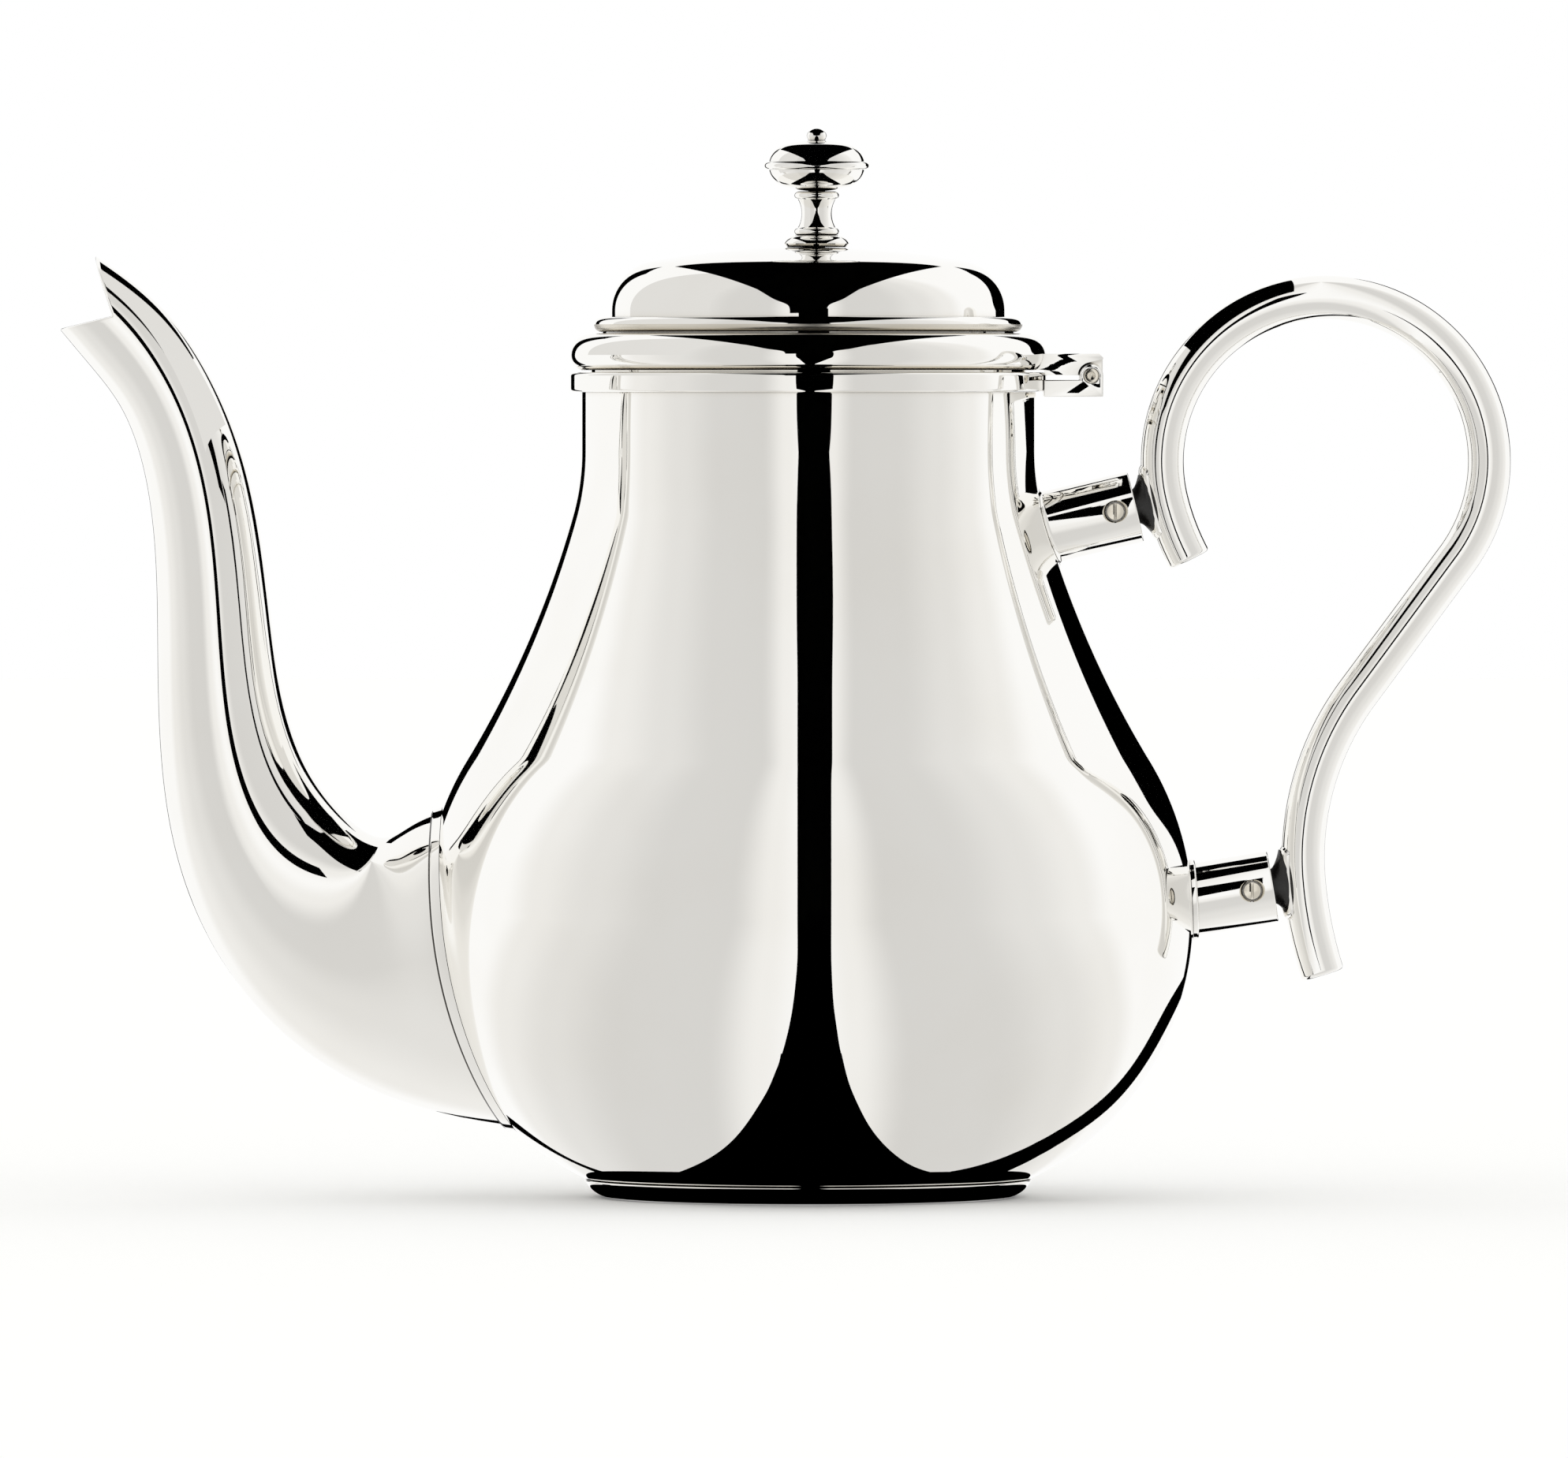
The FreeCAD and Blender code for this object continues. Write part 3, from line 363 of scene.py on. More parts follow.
def mirror_metal(name, clean, dull, gloss, haze, wave_height):
    """A polished metal: clean and dull colours, roughness of bright and hazy spots, height of its waves."""
    made = bpy.data.materials.new(name)
    tree = new_tree(made)
    place = add(tree, "TexCoord").outputs["Object"]
    corner = add(tree, "AmbientOcclusion", {"Distance": CORNER_REACH}, samples=4, only_local=False)
    shade = add(tree, "MapRange", {"Value": corner.outputs["AO"], "From Min": 0.15, "From Max": 0.75,
                                   "To Min": 0.5, "To Max": 0.0})
    breath = add(tree, "TexNoise", {"Vector": place, "Scale": 1 / BREATH, "Detail": 4.0})
    veil = add(tree, "MapRange", {"Value": breath, "From Min": 0.45, "From Max": 0.8, "To Max": 0.12})
    tarnish = add(tree, "Math", {0: shade, 1: veil}, operation="MAXIMUM")
    bright = add(tree, "MixRGB", {"Fac": tarnish, "Color1": linear(clean), "Color2": linear(dull)})
    # painted shade: occlusion within GROOVE_REACH darkens grooves towards near black
    groove = add(tree, "AmbientOcclusion", {"Distance": GROOVE_REACH}, samples=8, only_local=False)
    painted_groove_shade = add(tree, "MapRange", {"Value": groove.outputs["AO"], "From Min": 0.3, "From Max": 0.6,
                                  "To Min": 1.0, "To Max": 0.0})
    colour = add(tree, "MixRGB", {"Fac": painted_groove_shade, "Color1": bright, "Color2": linear(GROOVE_SHADE_BLACK)})
    stretch = add(tree, "Mapping", {"Vector": place, "Scale": (1.0, 1.0, 0.06)})
    hairs = add(tree, "TexNoise", {"Vector": stretch, "Scale": 1 / HAIRLINE, "Detail": 3.0})
    haze_share = add(tree, "Math", {0: hairs, 1: breath}, operation="MULTIPLY")
    rough = add(tree, "MapRange", {"Value": haze_share, "From Min": 0.1, "From Max": 0.5,
                                   "To Min": gloss, "To Max": haze})
    waves = add(tree, "TexNoise", {"Vector": place, "Scale": 1 / WAVE, "Detail": 0.0})
    bump = add(tree, "Bump", {"Height": waves, "Distance": wave_height, "Strength": 1.0})
    metal = add(tree, "BsdfPrincipled", {"Base Color": colour, "Metallic": 1.0, "Roughness": rough,
                                         "Normal": bump})
    add(tree, "OutputMaterial", {"Surface": metal})
    return made


# painted reflection: a dark metal that draws a dark reflection line on the seam strip
dark_reflection_metal = mirror_metal("painted_dark_reflection", "3A3733", "1E1B18", 0.2, 0.4, WAVE_HEIGHT)
silver = mirror_metal("silver_plate", "FBFAF7", "D9D0BE", 0.012, 0.035, WAVE_HEIGHT)
print("finish:", silver.name)

# %% [markdown]
# Inside, the shell keeps the satin of the spinning lathe: fine rings round the axis that no mop has reached.
# A wave texture along the height gives the rings, 0.8 mm apart so that they show. At a scale of 1 its waves are
# WAVE_PERIOD apart.

# %% Spun silver inside
SPIN_RING = 0.8 * MM
WAVE_PERIOD = 0.3142
spun = bpy.data.materials.new("spun_silver")
tree = new_tree(spun)
place = add(tree, "TexCoord").outputs["Object"]
rings = add(tree, "TexWave", {"Vector": place, "Scale": WAVE_PERIOD / SPIN_RING, "Distortion": 1.5,
                               "Detail": 2.0}, bands_direction="Z")
breath = add(tree, "TexNoise", {"Vector": place, "Scale": 1 / BREATH, "Detail": 3.0})
rough = add(tree, "MapRange", {"Value": breath, "To Min": 0.22, "To Max": 0.36})
colour = add(tree, "MixRGB", {"Fac": breath, "Color1": linear("EDEAE3"), "Color2": linear("D8D0BF")})
bump = add(tree, "Bump", {"Height": rings, "Distance": 0.01 * MM, "Strength": 0.4})
metal = add(tree, "BsdfPrincipled", {"Base Color": colour, "Metallic": 1.0, "Roughness": rough, "Normal": bump})
add(tree, "OutputMaterial", {"Surface": metal})
print("finish:", spun.name)

# %% [markdown]
# Screws, pin and nut are nickel silver, an alloy of copper, zinc and nickel that is turned and not plated: a
# shade warmer than the plate, with the same faint hairlines.

# %% Nickel silver
nickel = mirror_metal("nickel_silver", "E9E3D6", "B5A98F", 0.05, 0.16, 0.001 * MM)
print("finish:", nickel.name)

# %% [markdown]
# The insulators are black phenolic, a hard moulding resin that doesn't carry heat to the hand. It is turned
# and buffed, so it is nearly black with a soft sheen and faint marks of the buff.

# %% Black phenolic
GRAIN = 0.6 * MM
phenolic = bpy.data.materials.new("black_phenolic")
tree = new_tree(phenolic)
place = add(tree, "TexCoord").outputs["Object"]
grain = add(tree, "TexNoise", {"Vector": place, "Scale": 1 / GRAIN, "Detail": 4.0})
colour = add(tree, "MixRGB", {"Fac": grain, "Color1": linear("060505"), "Color2": linear("120F0D")})
rough = add(tree, "MapRange", {"Value": grain, "To Min": 0.2, "To Max": 0.42})
bump = add(tree, "Bump", {"Height": grain, "Distance": 0.01 * MM, "Strength": 0.5})
resin = add(tree, "BsdfPrincipled", {"Base Color": colour, "Roughness": rough, "IOR": 1.55, "Normal": bump})
add(tree, "OutputMaterial", {"Surface": resin})
print("finish:", phenolic.name)

for name, node in nodes.items():
    node.data.materials.clear()
    hardware = any(word in name for word in ("screw", "pin", "stud", "washer", "nut"))
    node.data.materials.append(phenolic if "insulator" in name else nickel if hardware else silver)

# %% [markdown]
# Most of the pot is turned, spun, lofted or bent from tube, and all of those are rings of points set one after
# another. So one function makes every skin: it takes rows of points and fills in the faces between them. A
# second one dresses the piece, lets it ride on the CAD body and hides the CAD node that it stands for. The
# edges that a mop would leave crisp are told apart from round ones by their angle.

# %% Skins
AROUND = 256
MERGE = 1e-7
CRISP = radians(32)


def skin(name, rows, loop=False):
    """A mesh over rows of points. Each row is a closed ring; loop also joins the last row to the first."""
    rows = np.asarray(rows, float)
    count, around = rows.shape[:2]
    first = np.arange(count if loop else count - 1)[:, None]
    second = (first + 1) % count
    here = np.arange(around)[None, :]
    there = (here + 1) % around
    corners = [first * around + here, first * around + there, second * around + there, second * around + here]
    made = mesh_object(name, rows.reshape(-1, 3), np.stack(corners, axis=-1).reshape(-1, 4).tolist())
    shape = bmesh.new()
    shape.from_mesh(made.data)
    bmesh.ops.remove_doubles(shape, verts=shape.verts, dist=MERGE)
    bmesh.ops.recalc_face_normals(shape, faces=shape.faces)
    shape.to_mesh(made.data)
    shape.free()
    return made


def dress(made, *replaced, finish=silver, slot="silver_plate"):
    """Give a piece its finish, mostly silver plate, and let it stand for CAD nodes, on their body."""
    made.data.materials.append(finish)
    made.data.shade_smooth()
    made.data.set_sharp_from_angle(angle=CRISP)
    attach(made, nodes[replaced[0]]["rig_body"])
    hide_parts(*replaced)
    print(made.name, "stands for", ", ".join(replaced), "with", len(made.data.polygons), "faces")
    return made


def round_turns(count):
    """Angles all the way round; the last one stops short of the first."""
    return np.linspace(0, 2 * pi, count, endpoint=False)


def ring(centre, axis, radius, steps=AROUND):
    """Circle of points about an axis that lies in the XZ plane or along Y."""
    side = np.array((0, 1, 0)) if abs(axis[1]) < 0.5 else np.array((0, 0, 1))
    across = np.cross(side, axis)
    turns = round_turns(steps)[:, None]
    return np.asarray(centre) + radius * (np.cos(turns) * across + np.sin(turns) * side)


def turned(name, outline, start=(0, 0, 0), axis=(0, 0, 1), loop=True, steps=AROUND):
    """Turn an outline of (radius, distance along the axis) points about an axis."""
    axis = np.asarray(axis, float)
    return skin(name, [ring(start + axis * along, axis, r, steps) for r, along in outline], loop)


def bend(centre, radius, start, end, reach=0.8 * MM):
    """Points of an arc in an outline between two slopes; a hollow arc has a negative radius."""
    count = max(8, round(abs(radius * (end - start)) / reach))
    return [(centre[0] + radius * cos(a), centre[1] + radius * sin(a)) for a in np.linspace(start, end, count)]


# %% [markdown]
# The body is spun from one sheet over a wooden chuck: a neck, a long hollow flank, a round belly and a closed
# bottom. Its outline is a chain of arcs that share their tangents, because a mirror shows any break in slope
# as a kink. The inner side is the same chain, one wall further in.

# %% Body outline
WALL = 1.0 * MM
NECK_R = 40.4 * MM
NECK_ARC = 41 * MM
NECK_TURN = radians(15.8)
FLANK_ARC = 176 * MM
BELLY_R = 68.5 * MM
BELLY_Z = 49.8 * MM
UPPER_BELLY_ARC = 55.1 * MM
LOWER_BELLY_ARC = 51.8 * MM
BOTTOM_Z = 2 * MM
RIM_Z = 146.4 * MM
RIGHT_ANGLE = radians(90)

FLANK_TURN = acos((NECK_ARC * (1 - cos(NECK_TURN)) + FLANK_ARC * cos(NECK_TURN) + UPPER_BELLY_ARC
                   - (BELLY_R - NECK_R)) / (UPPER_BELLY_ARC + FLANK_ARC))
FLANK_Z = BELLY_Z + UPPER_BELLY_ARC * sin(FLANK_TURN)
NECK_BEND_Z = FLANK_Z + FLANK_ARC * (sin(FLANK_TURN) - sin(NECK_TURN))
NECK_Z = NECK_BEND_Z + NECK_ARC * sin(NECK_TURN)
NECK_CENTRE = (NECK_R + NECK_ARC, NECK_Z)
FLANK_CENTRE = (NECK_CENTRE[0] + (FLANK_ARC - NECK_ARC) * cos(NECK_TURN),
                NECK_Z + (FLANK_ARC - NECK_ARC) * sin(NECK_TURN))


def body_outline(offset):
    """Outline from the rim to the bottom's middle, moved out by offset."""
    floor_z = BOTTOM_Z - offset
    floor_slope = -asin((BELLY_Z - floor_z) / (LOWER_BELLY_ARC + offset))
    points = [(NECK_R + offset, RIM_Z)]
    points += bend(NECK_CENTRE, offset - NECK_ARC, 0, NECK_TURN)
    points += bend(FLANK_CENTRE, offset - FLANK_ARC, NECK_TURN, FLANK_TURN)[1:]
    points += bend((BELLY_R - UPPER_BELLY_ARC, BELLY_Z), UPPER_BELLY_ARC + offset, FLANK_TURN, 0)[1:]
    points += bend((BELLY_R - LOWER_BELLY_ARC, BELLY_Z), LOWER_BELLY_ARC + offset, 0, floor_slope)[1:]
    return points + [(0, floor_z)]


def body_radius(z):
    """Outer radius of the body at a height."""
    if z >= NECK_Z:
        return NECK_R
    if z >= NECK_BEND_Z:
        return NECK_CENTRE[0] - sqrt(NECK_ARC ** 2 - (z - NECK_Z) ** 2)
    if z >= FLANK_Z:
        return FLANK_CENTRE[0] - sqrt(FLANK_ARC ** 2 - (z - FLANK_CENTRE[1]) ** 2)
    arc = UPPER_BELLY_ARC if z >= BELLY_Z else LOWER_BELLY_ARC
    return BELLY_R - arc + sqrt(max(arc ** 2 - (z - BELLY_Z) ** 2, 0))


print("widest:", round(BELLY_R / MM, 1), "neck:", round(NECK_R / MM, 1), "flank from:", round(FLANK_Z / MM, 1))

# %% [markdown]
# The spout is raised from sheet in two halves: wide and oval at the belly, then slimmer as it bends up to the
# beak. It is a loft through a few ovals. The lines that run along it stop where they meet the body's skin and
# where they meet the side view of the mouth, so both ends are clean without cutting the mesh afterwards.

# %% Spout line
SPOUT_WALL = 0.9 * MM
LIP_ROUND = 0.4 * MM
SOLDER_GAP = 0.05 * MM
SPOUT_OVALS = np.array((       # underside out and up, upper side out and up, half width
    (-20.5, -38.8, -8.5, 20.7, 25.5),
    (-14.2, -37.2, -1.3, 18.1, 24.2),
    (2.5, -33.2, 5.7, 14.2, 19.0),
    (26.5, -19.0, 14.0, 18.2, 13.6),
    (41.5, 4.2, 20.7, 27.2, 11.6),
    (46.7, 34.2, 25.4, 42.7, 10.4),
    (47.4, 64.7, 28.7, 67.7, 9.2),
    (53.5, 90.5, 37.5, 95.7, 7.6),
    (58.8, 97.7, 44.9, 106.7, 7.0),
    (68.2, 108.9, 61.0, 119.2, 6.2))) * MM
MOUTH_TIP = np.array((58.4, 118.2)) * MM
MOUTH_HOOD = np.array((57.0, 112.8)) * MM
MOUTH_NOTCH = np.array((55.0, 106.6)) * MM
MOUTH_LIP = np.array((64.4, 104.3)) * MM
SPOUT_AROUND = 192
SPOUT_STEPS = 240

middles = (SPOUT_OVALS[:, 0:2] + SPOUT_OVALS[:, 2:4]) / 2
OVAL_KNOTS = lengths(middles)


def spout_line(turn, growth, at):
    """Points of one line along the spout, at an angle round its ovals, grown by growth."""
    ovals = smooth_curve(OVAL_KNOTS, SPOUT_OVALS, at)
    low, high, half_width = ovals[:, 0:2], ovals[:, 2:4], ovals[:, 4]
    half = (high - low) / 2
    size = norm(half, axis=1)
    spots = (low + high) / 2 + half * ((size + growth) / size * cos(turn))[:, None]
    return np.stack([-BELLY_R - spots[:, 0], (half_width + growth) * sin(turn), BELLY_Z + spots[:, 1]], axis=1)


def outside_body(points):
    """Distance of points outside the body's skin, measured level."""
    return np.array([hypot(x, y) - body_radius(z) for x, y, z in points])


def beyond_mouth(points):
    """How far points are beyond the mouth, which is open in front of its hood and above its pouring lip."""
    spots = np.stack([-BELLY_R - points[:, 0], points[:, 2] - BELLY_Z], axis=1)
    chord = MOUTH_TIP - MOUTH_NOTCH
    away = np.array((chord[1], -chord[0])) / norm(chord)
    bulge = (MOUTH_HOOD - MOUTH_NOTCH) @ away
    share = (spots - MOUTH_NOTCH) @ chord / (chord @ chord)
    hood = (spots - MOUTH_NOTCH) @ away - bulge * 4 * share * (1 - share)
    edge = (MOUTH_LIP - MOUTH_NOTCH) / norm(MOUTH_LIP - MOUTH_NOTCH)
    lip = (spots - MOUTH_NOTCH) @ np.array((-edge[1], edge[0]))
    return np.minimum(hood, lip)


FINE = np.linspace(0, OVAL_KNOTS[-1], 1200)


def crossing(values, level, last=False):
    """Place along the line where values first, or last, rise through a level."""
    rises = np.nonzero((values[:-1] < level) & (values[1:] >= level))[0]
    i = rises[-1 if last else 0]
    return FINE[i] + (level - values[i]) / (values[i + 1] - values[i]) * (FINE[i + 1] - FINE[i])


def spout_rows(growth, start_gap, stop_short):
    """Rows of points round the spout, from start_gap outside the body to stop_short of the mouth."""
    lines = []
    for turn in round_turns(SPOUT_AROUND):
        line = spout_line(turn, growth, FINE)
        start = crossing(outside_body(line), start_gap)
        stop = crossing(beyond_mouth(line), -stop_short)
        lines.append(spout_line(turn, growth, np.linspace(start, stop, SPOUT_STEPS)))
    return np.array(lines).transpose(1, 0, 2)


outer = spout_rows(0, SOLDER_GAP, LIP_ROUND)
inner = spout_rows(-SPOUT_WALL, SOLDER_GAP, LIP_ROUND)
print("spout reaches", round(-outer[..., 0].min() / MM, 1), "mm from the axis")

# %% [markdown]
# The lip between the outer and inner skin is rolled over to a half round, as a pouring edge is, so it catches a
# thin line of light.

# %% Spout
middle, half = (outer[-1] + inner[-1]) / 2, (outer[-1] - inner[-1]) / 2
ahead = outer[-1] - outer[-2] + inner[-1] - inner[-2]
ahead /= norm(ahead, axis=1)[:, None]
lip = [middle + half * cos(a) + ahead * LIP_ROUND * sin(a) for a in np.linspace(0, pi, 9)[1:-1]]
spout = skin("swan_neck_spout", np.concatenate([outer, lip, inner[::-1]]), loop=True)
dress(spout, "spout")

# %% [markdown]
# A narrow strip covers the soldered seam between spout and body. It follows the same loft, a little larger, for
# a few rows off the skin, with a soft outer edge.

# %% Seam strip
STRIP_PROUD = 0.5 * MM
STRIP_HEIGHT = 1.5 * MM
STRIP_ROUND = 0.3 * MM
# painted reflection: the face rows of the strip that get the dark metal
DARK_REFLECTION_ROWS = (3, 4, 5, 6)


def seam_row(growth, height):
    """Ring of points on the grown loft, at a height off the body's skin."""
    ring = []
    for turn in round_turns(SPOUT_AROUND):
        start = crossing(outside_body(spout_line(turn, growth, FINE)), height)
        ring.append(spout_line(turn, growth, np.array([start]))[0])
    return np.array(ring)


soft_edge = [(STRIP_PROUD - STRIP_ROUND * (1 - cos(a)), STRIP_HEIGHT - STRIP_ROUND * (1 - sin(a)))
             for a in np.linspace(0, RIGHT_ANGLE, 6)]
profile = [(STRIP_PROUD, SOLDER_GAP)] + soft_edge + [(SOLDER_GAP, STRIP_HEIGHT), (SOLDER_GAP, SOLDER_GAP)]
seam = skin("spout_seam_strip", [seam_row(growth, height) for growth, height in profile], loop=True)
dress(seam, "spout_flange")
# painted reflection: the strip's rounded top edge and its top get the dark metal, a dark line
seam.data.materials.append(dark_reflection_metal)
for face in seam.data.polygons:
    if face.index // SPOUT_AROUND in DARK_REFLECTION_ROWS:
        face.material_index = 1

# %% [markdown]
# The shell is turned from the two outlines. The opening into the spout is the spout's own bore, cut out of the
# shell with a boolean: its edge lies under the spout, so the cut never shows on the polished side.

# %% Body shell
RIM_ROUND = 0.3 * MM


def carve(made, cutter):
    """Cut a closed mesh out of a piece, then drop the cutter."""
    cut = made.modifiers.new("cut", "BOOLEAN")
    cut.operation = "DIFFERENCE"
    cut.object = cutter
    cut.solver = "EXACT"
    whole = made.evaluated_get(bpy.context.evaluated_depsgraph_get())
    made.data = bpy.data.meshes.new_from_object(whole)
    made.modifiers.clear()
    bpy.data.objects.remove(cutter)


outside, inside = body_outline(0), body_outline(-WALL)
rim = [(NECK_R - WALL / 2 + (WALL / 2 - RIM_ROUND) * side + RIM_ROUND * cos(a), RIM_Z - RIM_ROUND * (1 - sin(a)))
       for side, turns in ((-1, (pi, RIGHT_ANGLE)), (1, (RIGHT_ANGLE, 0))) for a in np.linspace(*turns, 5)]
shell = turned("pear_body", rim + outside[1:] + inside[:0:-1], loop=False)
BORE_REACH = 6 * MM
bore = [[spout_line(turn, -SPOUT_WALL, np.array([at]))[0] for turn in round_turns(SPOUT_AROUND)]
        for at in np.linspace(0, OVAL_KNOTS[2] + BORE_REACH, 40)]
ends = [np.repeat(np.mean(ring, axis=0, keepdims=True), SPOUT_AROUND, axis=0) for ring in (bore[0], bore[-1])]
carve(shell, skin("bore", np.concatenate([[ends[0]], bore, [ends[1]]])))
dress(shell, "body_shell")
shell.data.materials.append(spun)
for face in shell.data.polygons:
    x, y, z = face.center
    within = BOTTOM_Z + WALL / 2 < z < RIM_Z - WALL
    face.material_index = int(within and hypot(x, y) < body_radius(z) - WALL / 2)

# %% [markdown]
# The foot is a quarter-round bead under the bottom, with a narrow ledge where it meets the belly. Its outer edge
# is eased, since a polished edge is never a knife.

# %% Foot
FOOT_HEIGHT = 3.2 * MM
FOOT_STEP = 0.4 * MM
FOOT_INSET = 4.9 * MM
FOOT_LAND = 4.0 * MM
FOOT_EASE = 0.2 * MM

foot_top_r = body_radius(FOOT_HEIGHT) + FOOT_STEP
standing_r = foot_top_r - FOOT_INSET
bead_r = (FOOT_INSET ** 2 + FOOT_HEIGHT ** 2) / (2 * FOOT_HEIGHT)
bead_turn = asin((FOOT_INSET - FOOT_EASE / 2) / bead_r)
bead = bend((standing_r, bead_r), bead_r, -RIGHT_ANGLE, bead_turn - RIGHT_ANGLE, 0.15 * MM)
edge = bend((foot_top_r - FOOT_EASE, FOOT_HEIGHT - FOOT_EASE), FOOT_EASE, bead_turn - RIGHT_ANGLE, RIGHT_ANGLE)
seat = [(body_radius(z) + SOLDER_GAP, z) for z in np.linspace(FOOT_HEIGHT, BOTTOM_Z, 6)]
land = [(standing_r - FOOT_LAND, BOTTOM_Z - SOLDER_GAP), (standing_r - FOOT_LAND, 0)]
foot = turned("foot_bead", bead + edge + seat + land)
dress(foot, "foot_ring")

# %% [markdown]
# A flat collar stiffens the mouth of the body. Its two outer edges are rounded over.

# %% Collar
COLLAR_HEIGHT = 3.5 * MM
COLLAR_DEPTH = 2.0 * MM
COLLAR_ROUND = 0.6 * MM
EDGE_REACH = 0.1 * MM

collar_r = NECK_R + COLLAR_DEPTH
collar_in = NECK_R + SOLDER_GAP
collar_z = RIM_Z - COLLAR_HEIGHT
round_r = collar_r - COLLAR_ROUND
lower_round = bend((round_r, collar_z + COLLAR_ROUND), COLLAR_ROUND, -RIGHT_ANGLE, 0, EDGE_REACH)
upper_round = bend((round_r, RIM_Z - COLLAR_ROUND), COLLAR_ROUND, 0, RIGHT_ANGLE, EDGE_REACH)
collar = turned("neck_collar", [(collar_in, collar_z)] + lower_round + upper_round + [(collar_in, RIM_Z)])
dress(collar, "rim_collar")

# %% [markdown]
# The lid is spun as well: an edge that tucks in under a fat roll, a small bead, an upright side and a domed
# crown. All of it is one outline of arcs, and the hollow inside is the dome's own arcs one wall further in.

# %% Lid
LID_GAP = 0.4 * MM
LID_WALL = 1.0 * MM
LID_SETBACK = 0.1 * MM
LID_TUCK = 1.9 * MM
LID_TUCK_HEIGHT = 2.6 * MM
LID_ROLL = 3.9 * MM
LID_STEP = 0.3 * MM
LID_BEAD_SET = 4.3 * MM
LID_BEAD = 1.3 * MM
DOME_SET = 7.2 * MM
DOME_SIDE = 1.1 * MM
DOME_SHOULDER = 9.0 * MM
DOME_CROWN = 2.3 * MM
BEZEL_WALL = 1.0 * MM
BEZEL_CLEARANCE = 0.7 * MM
BEZEL_DEPTH = 5.0 * MM
BEZEL_SEAT = 4.5 * MM
BEZEL_ROUND = 0.3 * MM
FINE_REACH = 0.25 * MM

lid_z = RIM_Z + LID_GAP
lid_r = collar_r - LID_SETBACK
rim_z = lid_z + LID_TUCK_HEIGHT
roll_z = rim_z + LID_ROLL
bead_z = roll_z + LID_STEP + LID_BEAD
dome_z = bead_z + LID_BEAD
spring_z = dome_z + DOME_SIDE
lid_top_z = spring_z + DOME_SHOULDER + DOME_CROWN
dome_r = lid_r - DOME_SET
shoulder_r = dome_r - DOME_SHOULDER
crown_depth = (shoulder_r ** 2 - DOME_CROWN ** 2) / (2 * DOME_CROWN)
crown_r = crown_depth + DOME_CROWN + DOME_SHOULDER
bezel_r = NECK_R - WALL - BEZEL_CLEARANCE


def dome_outline(offset, foot_z):
    """Upright side, shoulder and crown of the dome, from its foot to the axis."""
    lean = RIGHT_ANGLE - asin(shoulder_r / (crown_depth + DOME_CROWN))
    shoulder = bend((shoulder_r, spring_z), DOME_SHOULDER + offset, 0, lean, FINE_REACH)
    crown = bend((0, spring_z - crown_depth), crown_r + offset, lean, RIGHT_ANGLE)
    return [(dome_r + offset, foot_z)] + shoulder + crown[1:]


tuck_r = (LID_TUCK ** 2 + LID_TUCK_HEIGHT ** 2) / (2 * LID_TUCK)
tuck = bend((lid_r - tuck_r, rim_z), tuck_r, -asin(LID_TUCK_HEIGHT / tuck_r), 0, FINE_REACH)
roll = bend((lid_r - LID_ROLL, rim_z), LID_ROLL, 0, RIGHT_ANGLE, FINE_REACH)
bead_in = lid_r - LID_BEAD_SET - LID_BEAD
bead = bend((bead_in, bead_z), LID_BEAD, -RIGHT_ANGLE, RIGHT_ANGLE, FINE_REACH / 2)
seat = [(bezel_r + SOLDER_GAP, lid_z + BEZEL_SEAT + SOLDER_GAP), (bezel_r + SOLDER_GAP, lid_z)]
hollow = dome_outline(-LID_WALL, lid_z + BEZEL_SEAT + SOLDER_GAP)
dome = dome_outline(0, dome_z)
lid = turned("lid_shell", tuck + roll[1:] + [(bead_in, roll_z)] + bead + dome + hollow[::-1] + seat)
dress(lid, "lid_dome")
lid.data.materials.append(spun)
for face in lid.data.polygons:
    r = hypot(face.center.x, face.center.y)
    below = face.normal.z < -0.02 and r < bezel_r
    wall = face.normal.z <= 0.02 and r < dome_r - LID_WALL / 2 and face.center.z > lid_z + BEZEL_SEAT
    face.material_index = int(below or wall)
round_z = lid_z - BEZEL_DEPTH + BEZEL_ROUND
lead = bend((bezel_r - BEZEL_ROUND, round_z), BEZEL_ROUND, -RIGHT_ANGLE, 0, EDGE_REACH)
back = bend((bezel_r - BEZEL_WALL + BEZEL_ROUND, round_z), BEZEL_ROUND, -pi, -RIGHT_ANGLE, EDGE_REACH)
top = [(bezel_r, lid_z + BEZEL_SEAT), (bezel_r - BEZEL_WALL, lid_z + BEZEL_SEAT)]
bezel = turned("lid_bezel_ring", back + lead + top)
dress(bezel, "lid_bezel")
print("lid top in mm:", round(lid_top_z / MM, 1))

# %% [markdown]
# The finial is turned from bar in four pieces on a stud: a cushion, a waisted stem between two beads, a
# flattened ball with a bead round it, and a button. It stands a little off the lid's axis, towards the hinge,
# as on the real pot.

# %% Finial
FINIAL_AXIS = (1.5 * MM, 0, 0)
FINIAL_BORE = 1.6 * MM
CUSHION_R = 5.8 * MM
CUSHION_HEIGHT = 2.1 * MM
CUSHION_LIP = 0.65 * MM
CUSHION_BULGE = 0.3 * MM
STEM_BEAD_R = 4.0 * MM
STEM_BEAD = 1.4 * MM
SPOOL_R = 3.4 * MM
WAIST_R = 2.7 * MM
SPOOL_HEIGHT = 5.0 * MM
BALL_R = 8.6 * MM
BALL_HEIGHT = 9.1 * MM
BALL_SHOULDER = 3.9 * MM
BALL_BAND = 0.75 * MM
TIP_R = 1.8 * MM
TIP_HEIGHT = 2.1 * MM
TIP_EASE = 0.3 * MM
TURN_REACH = 0.12 * MM


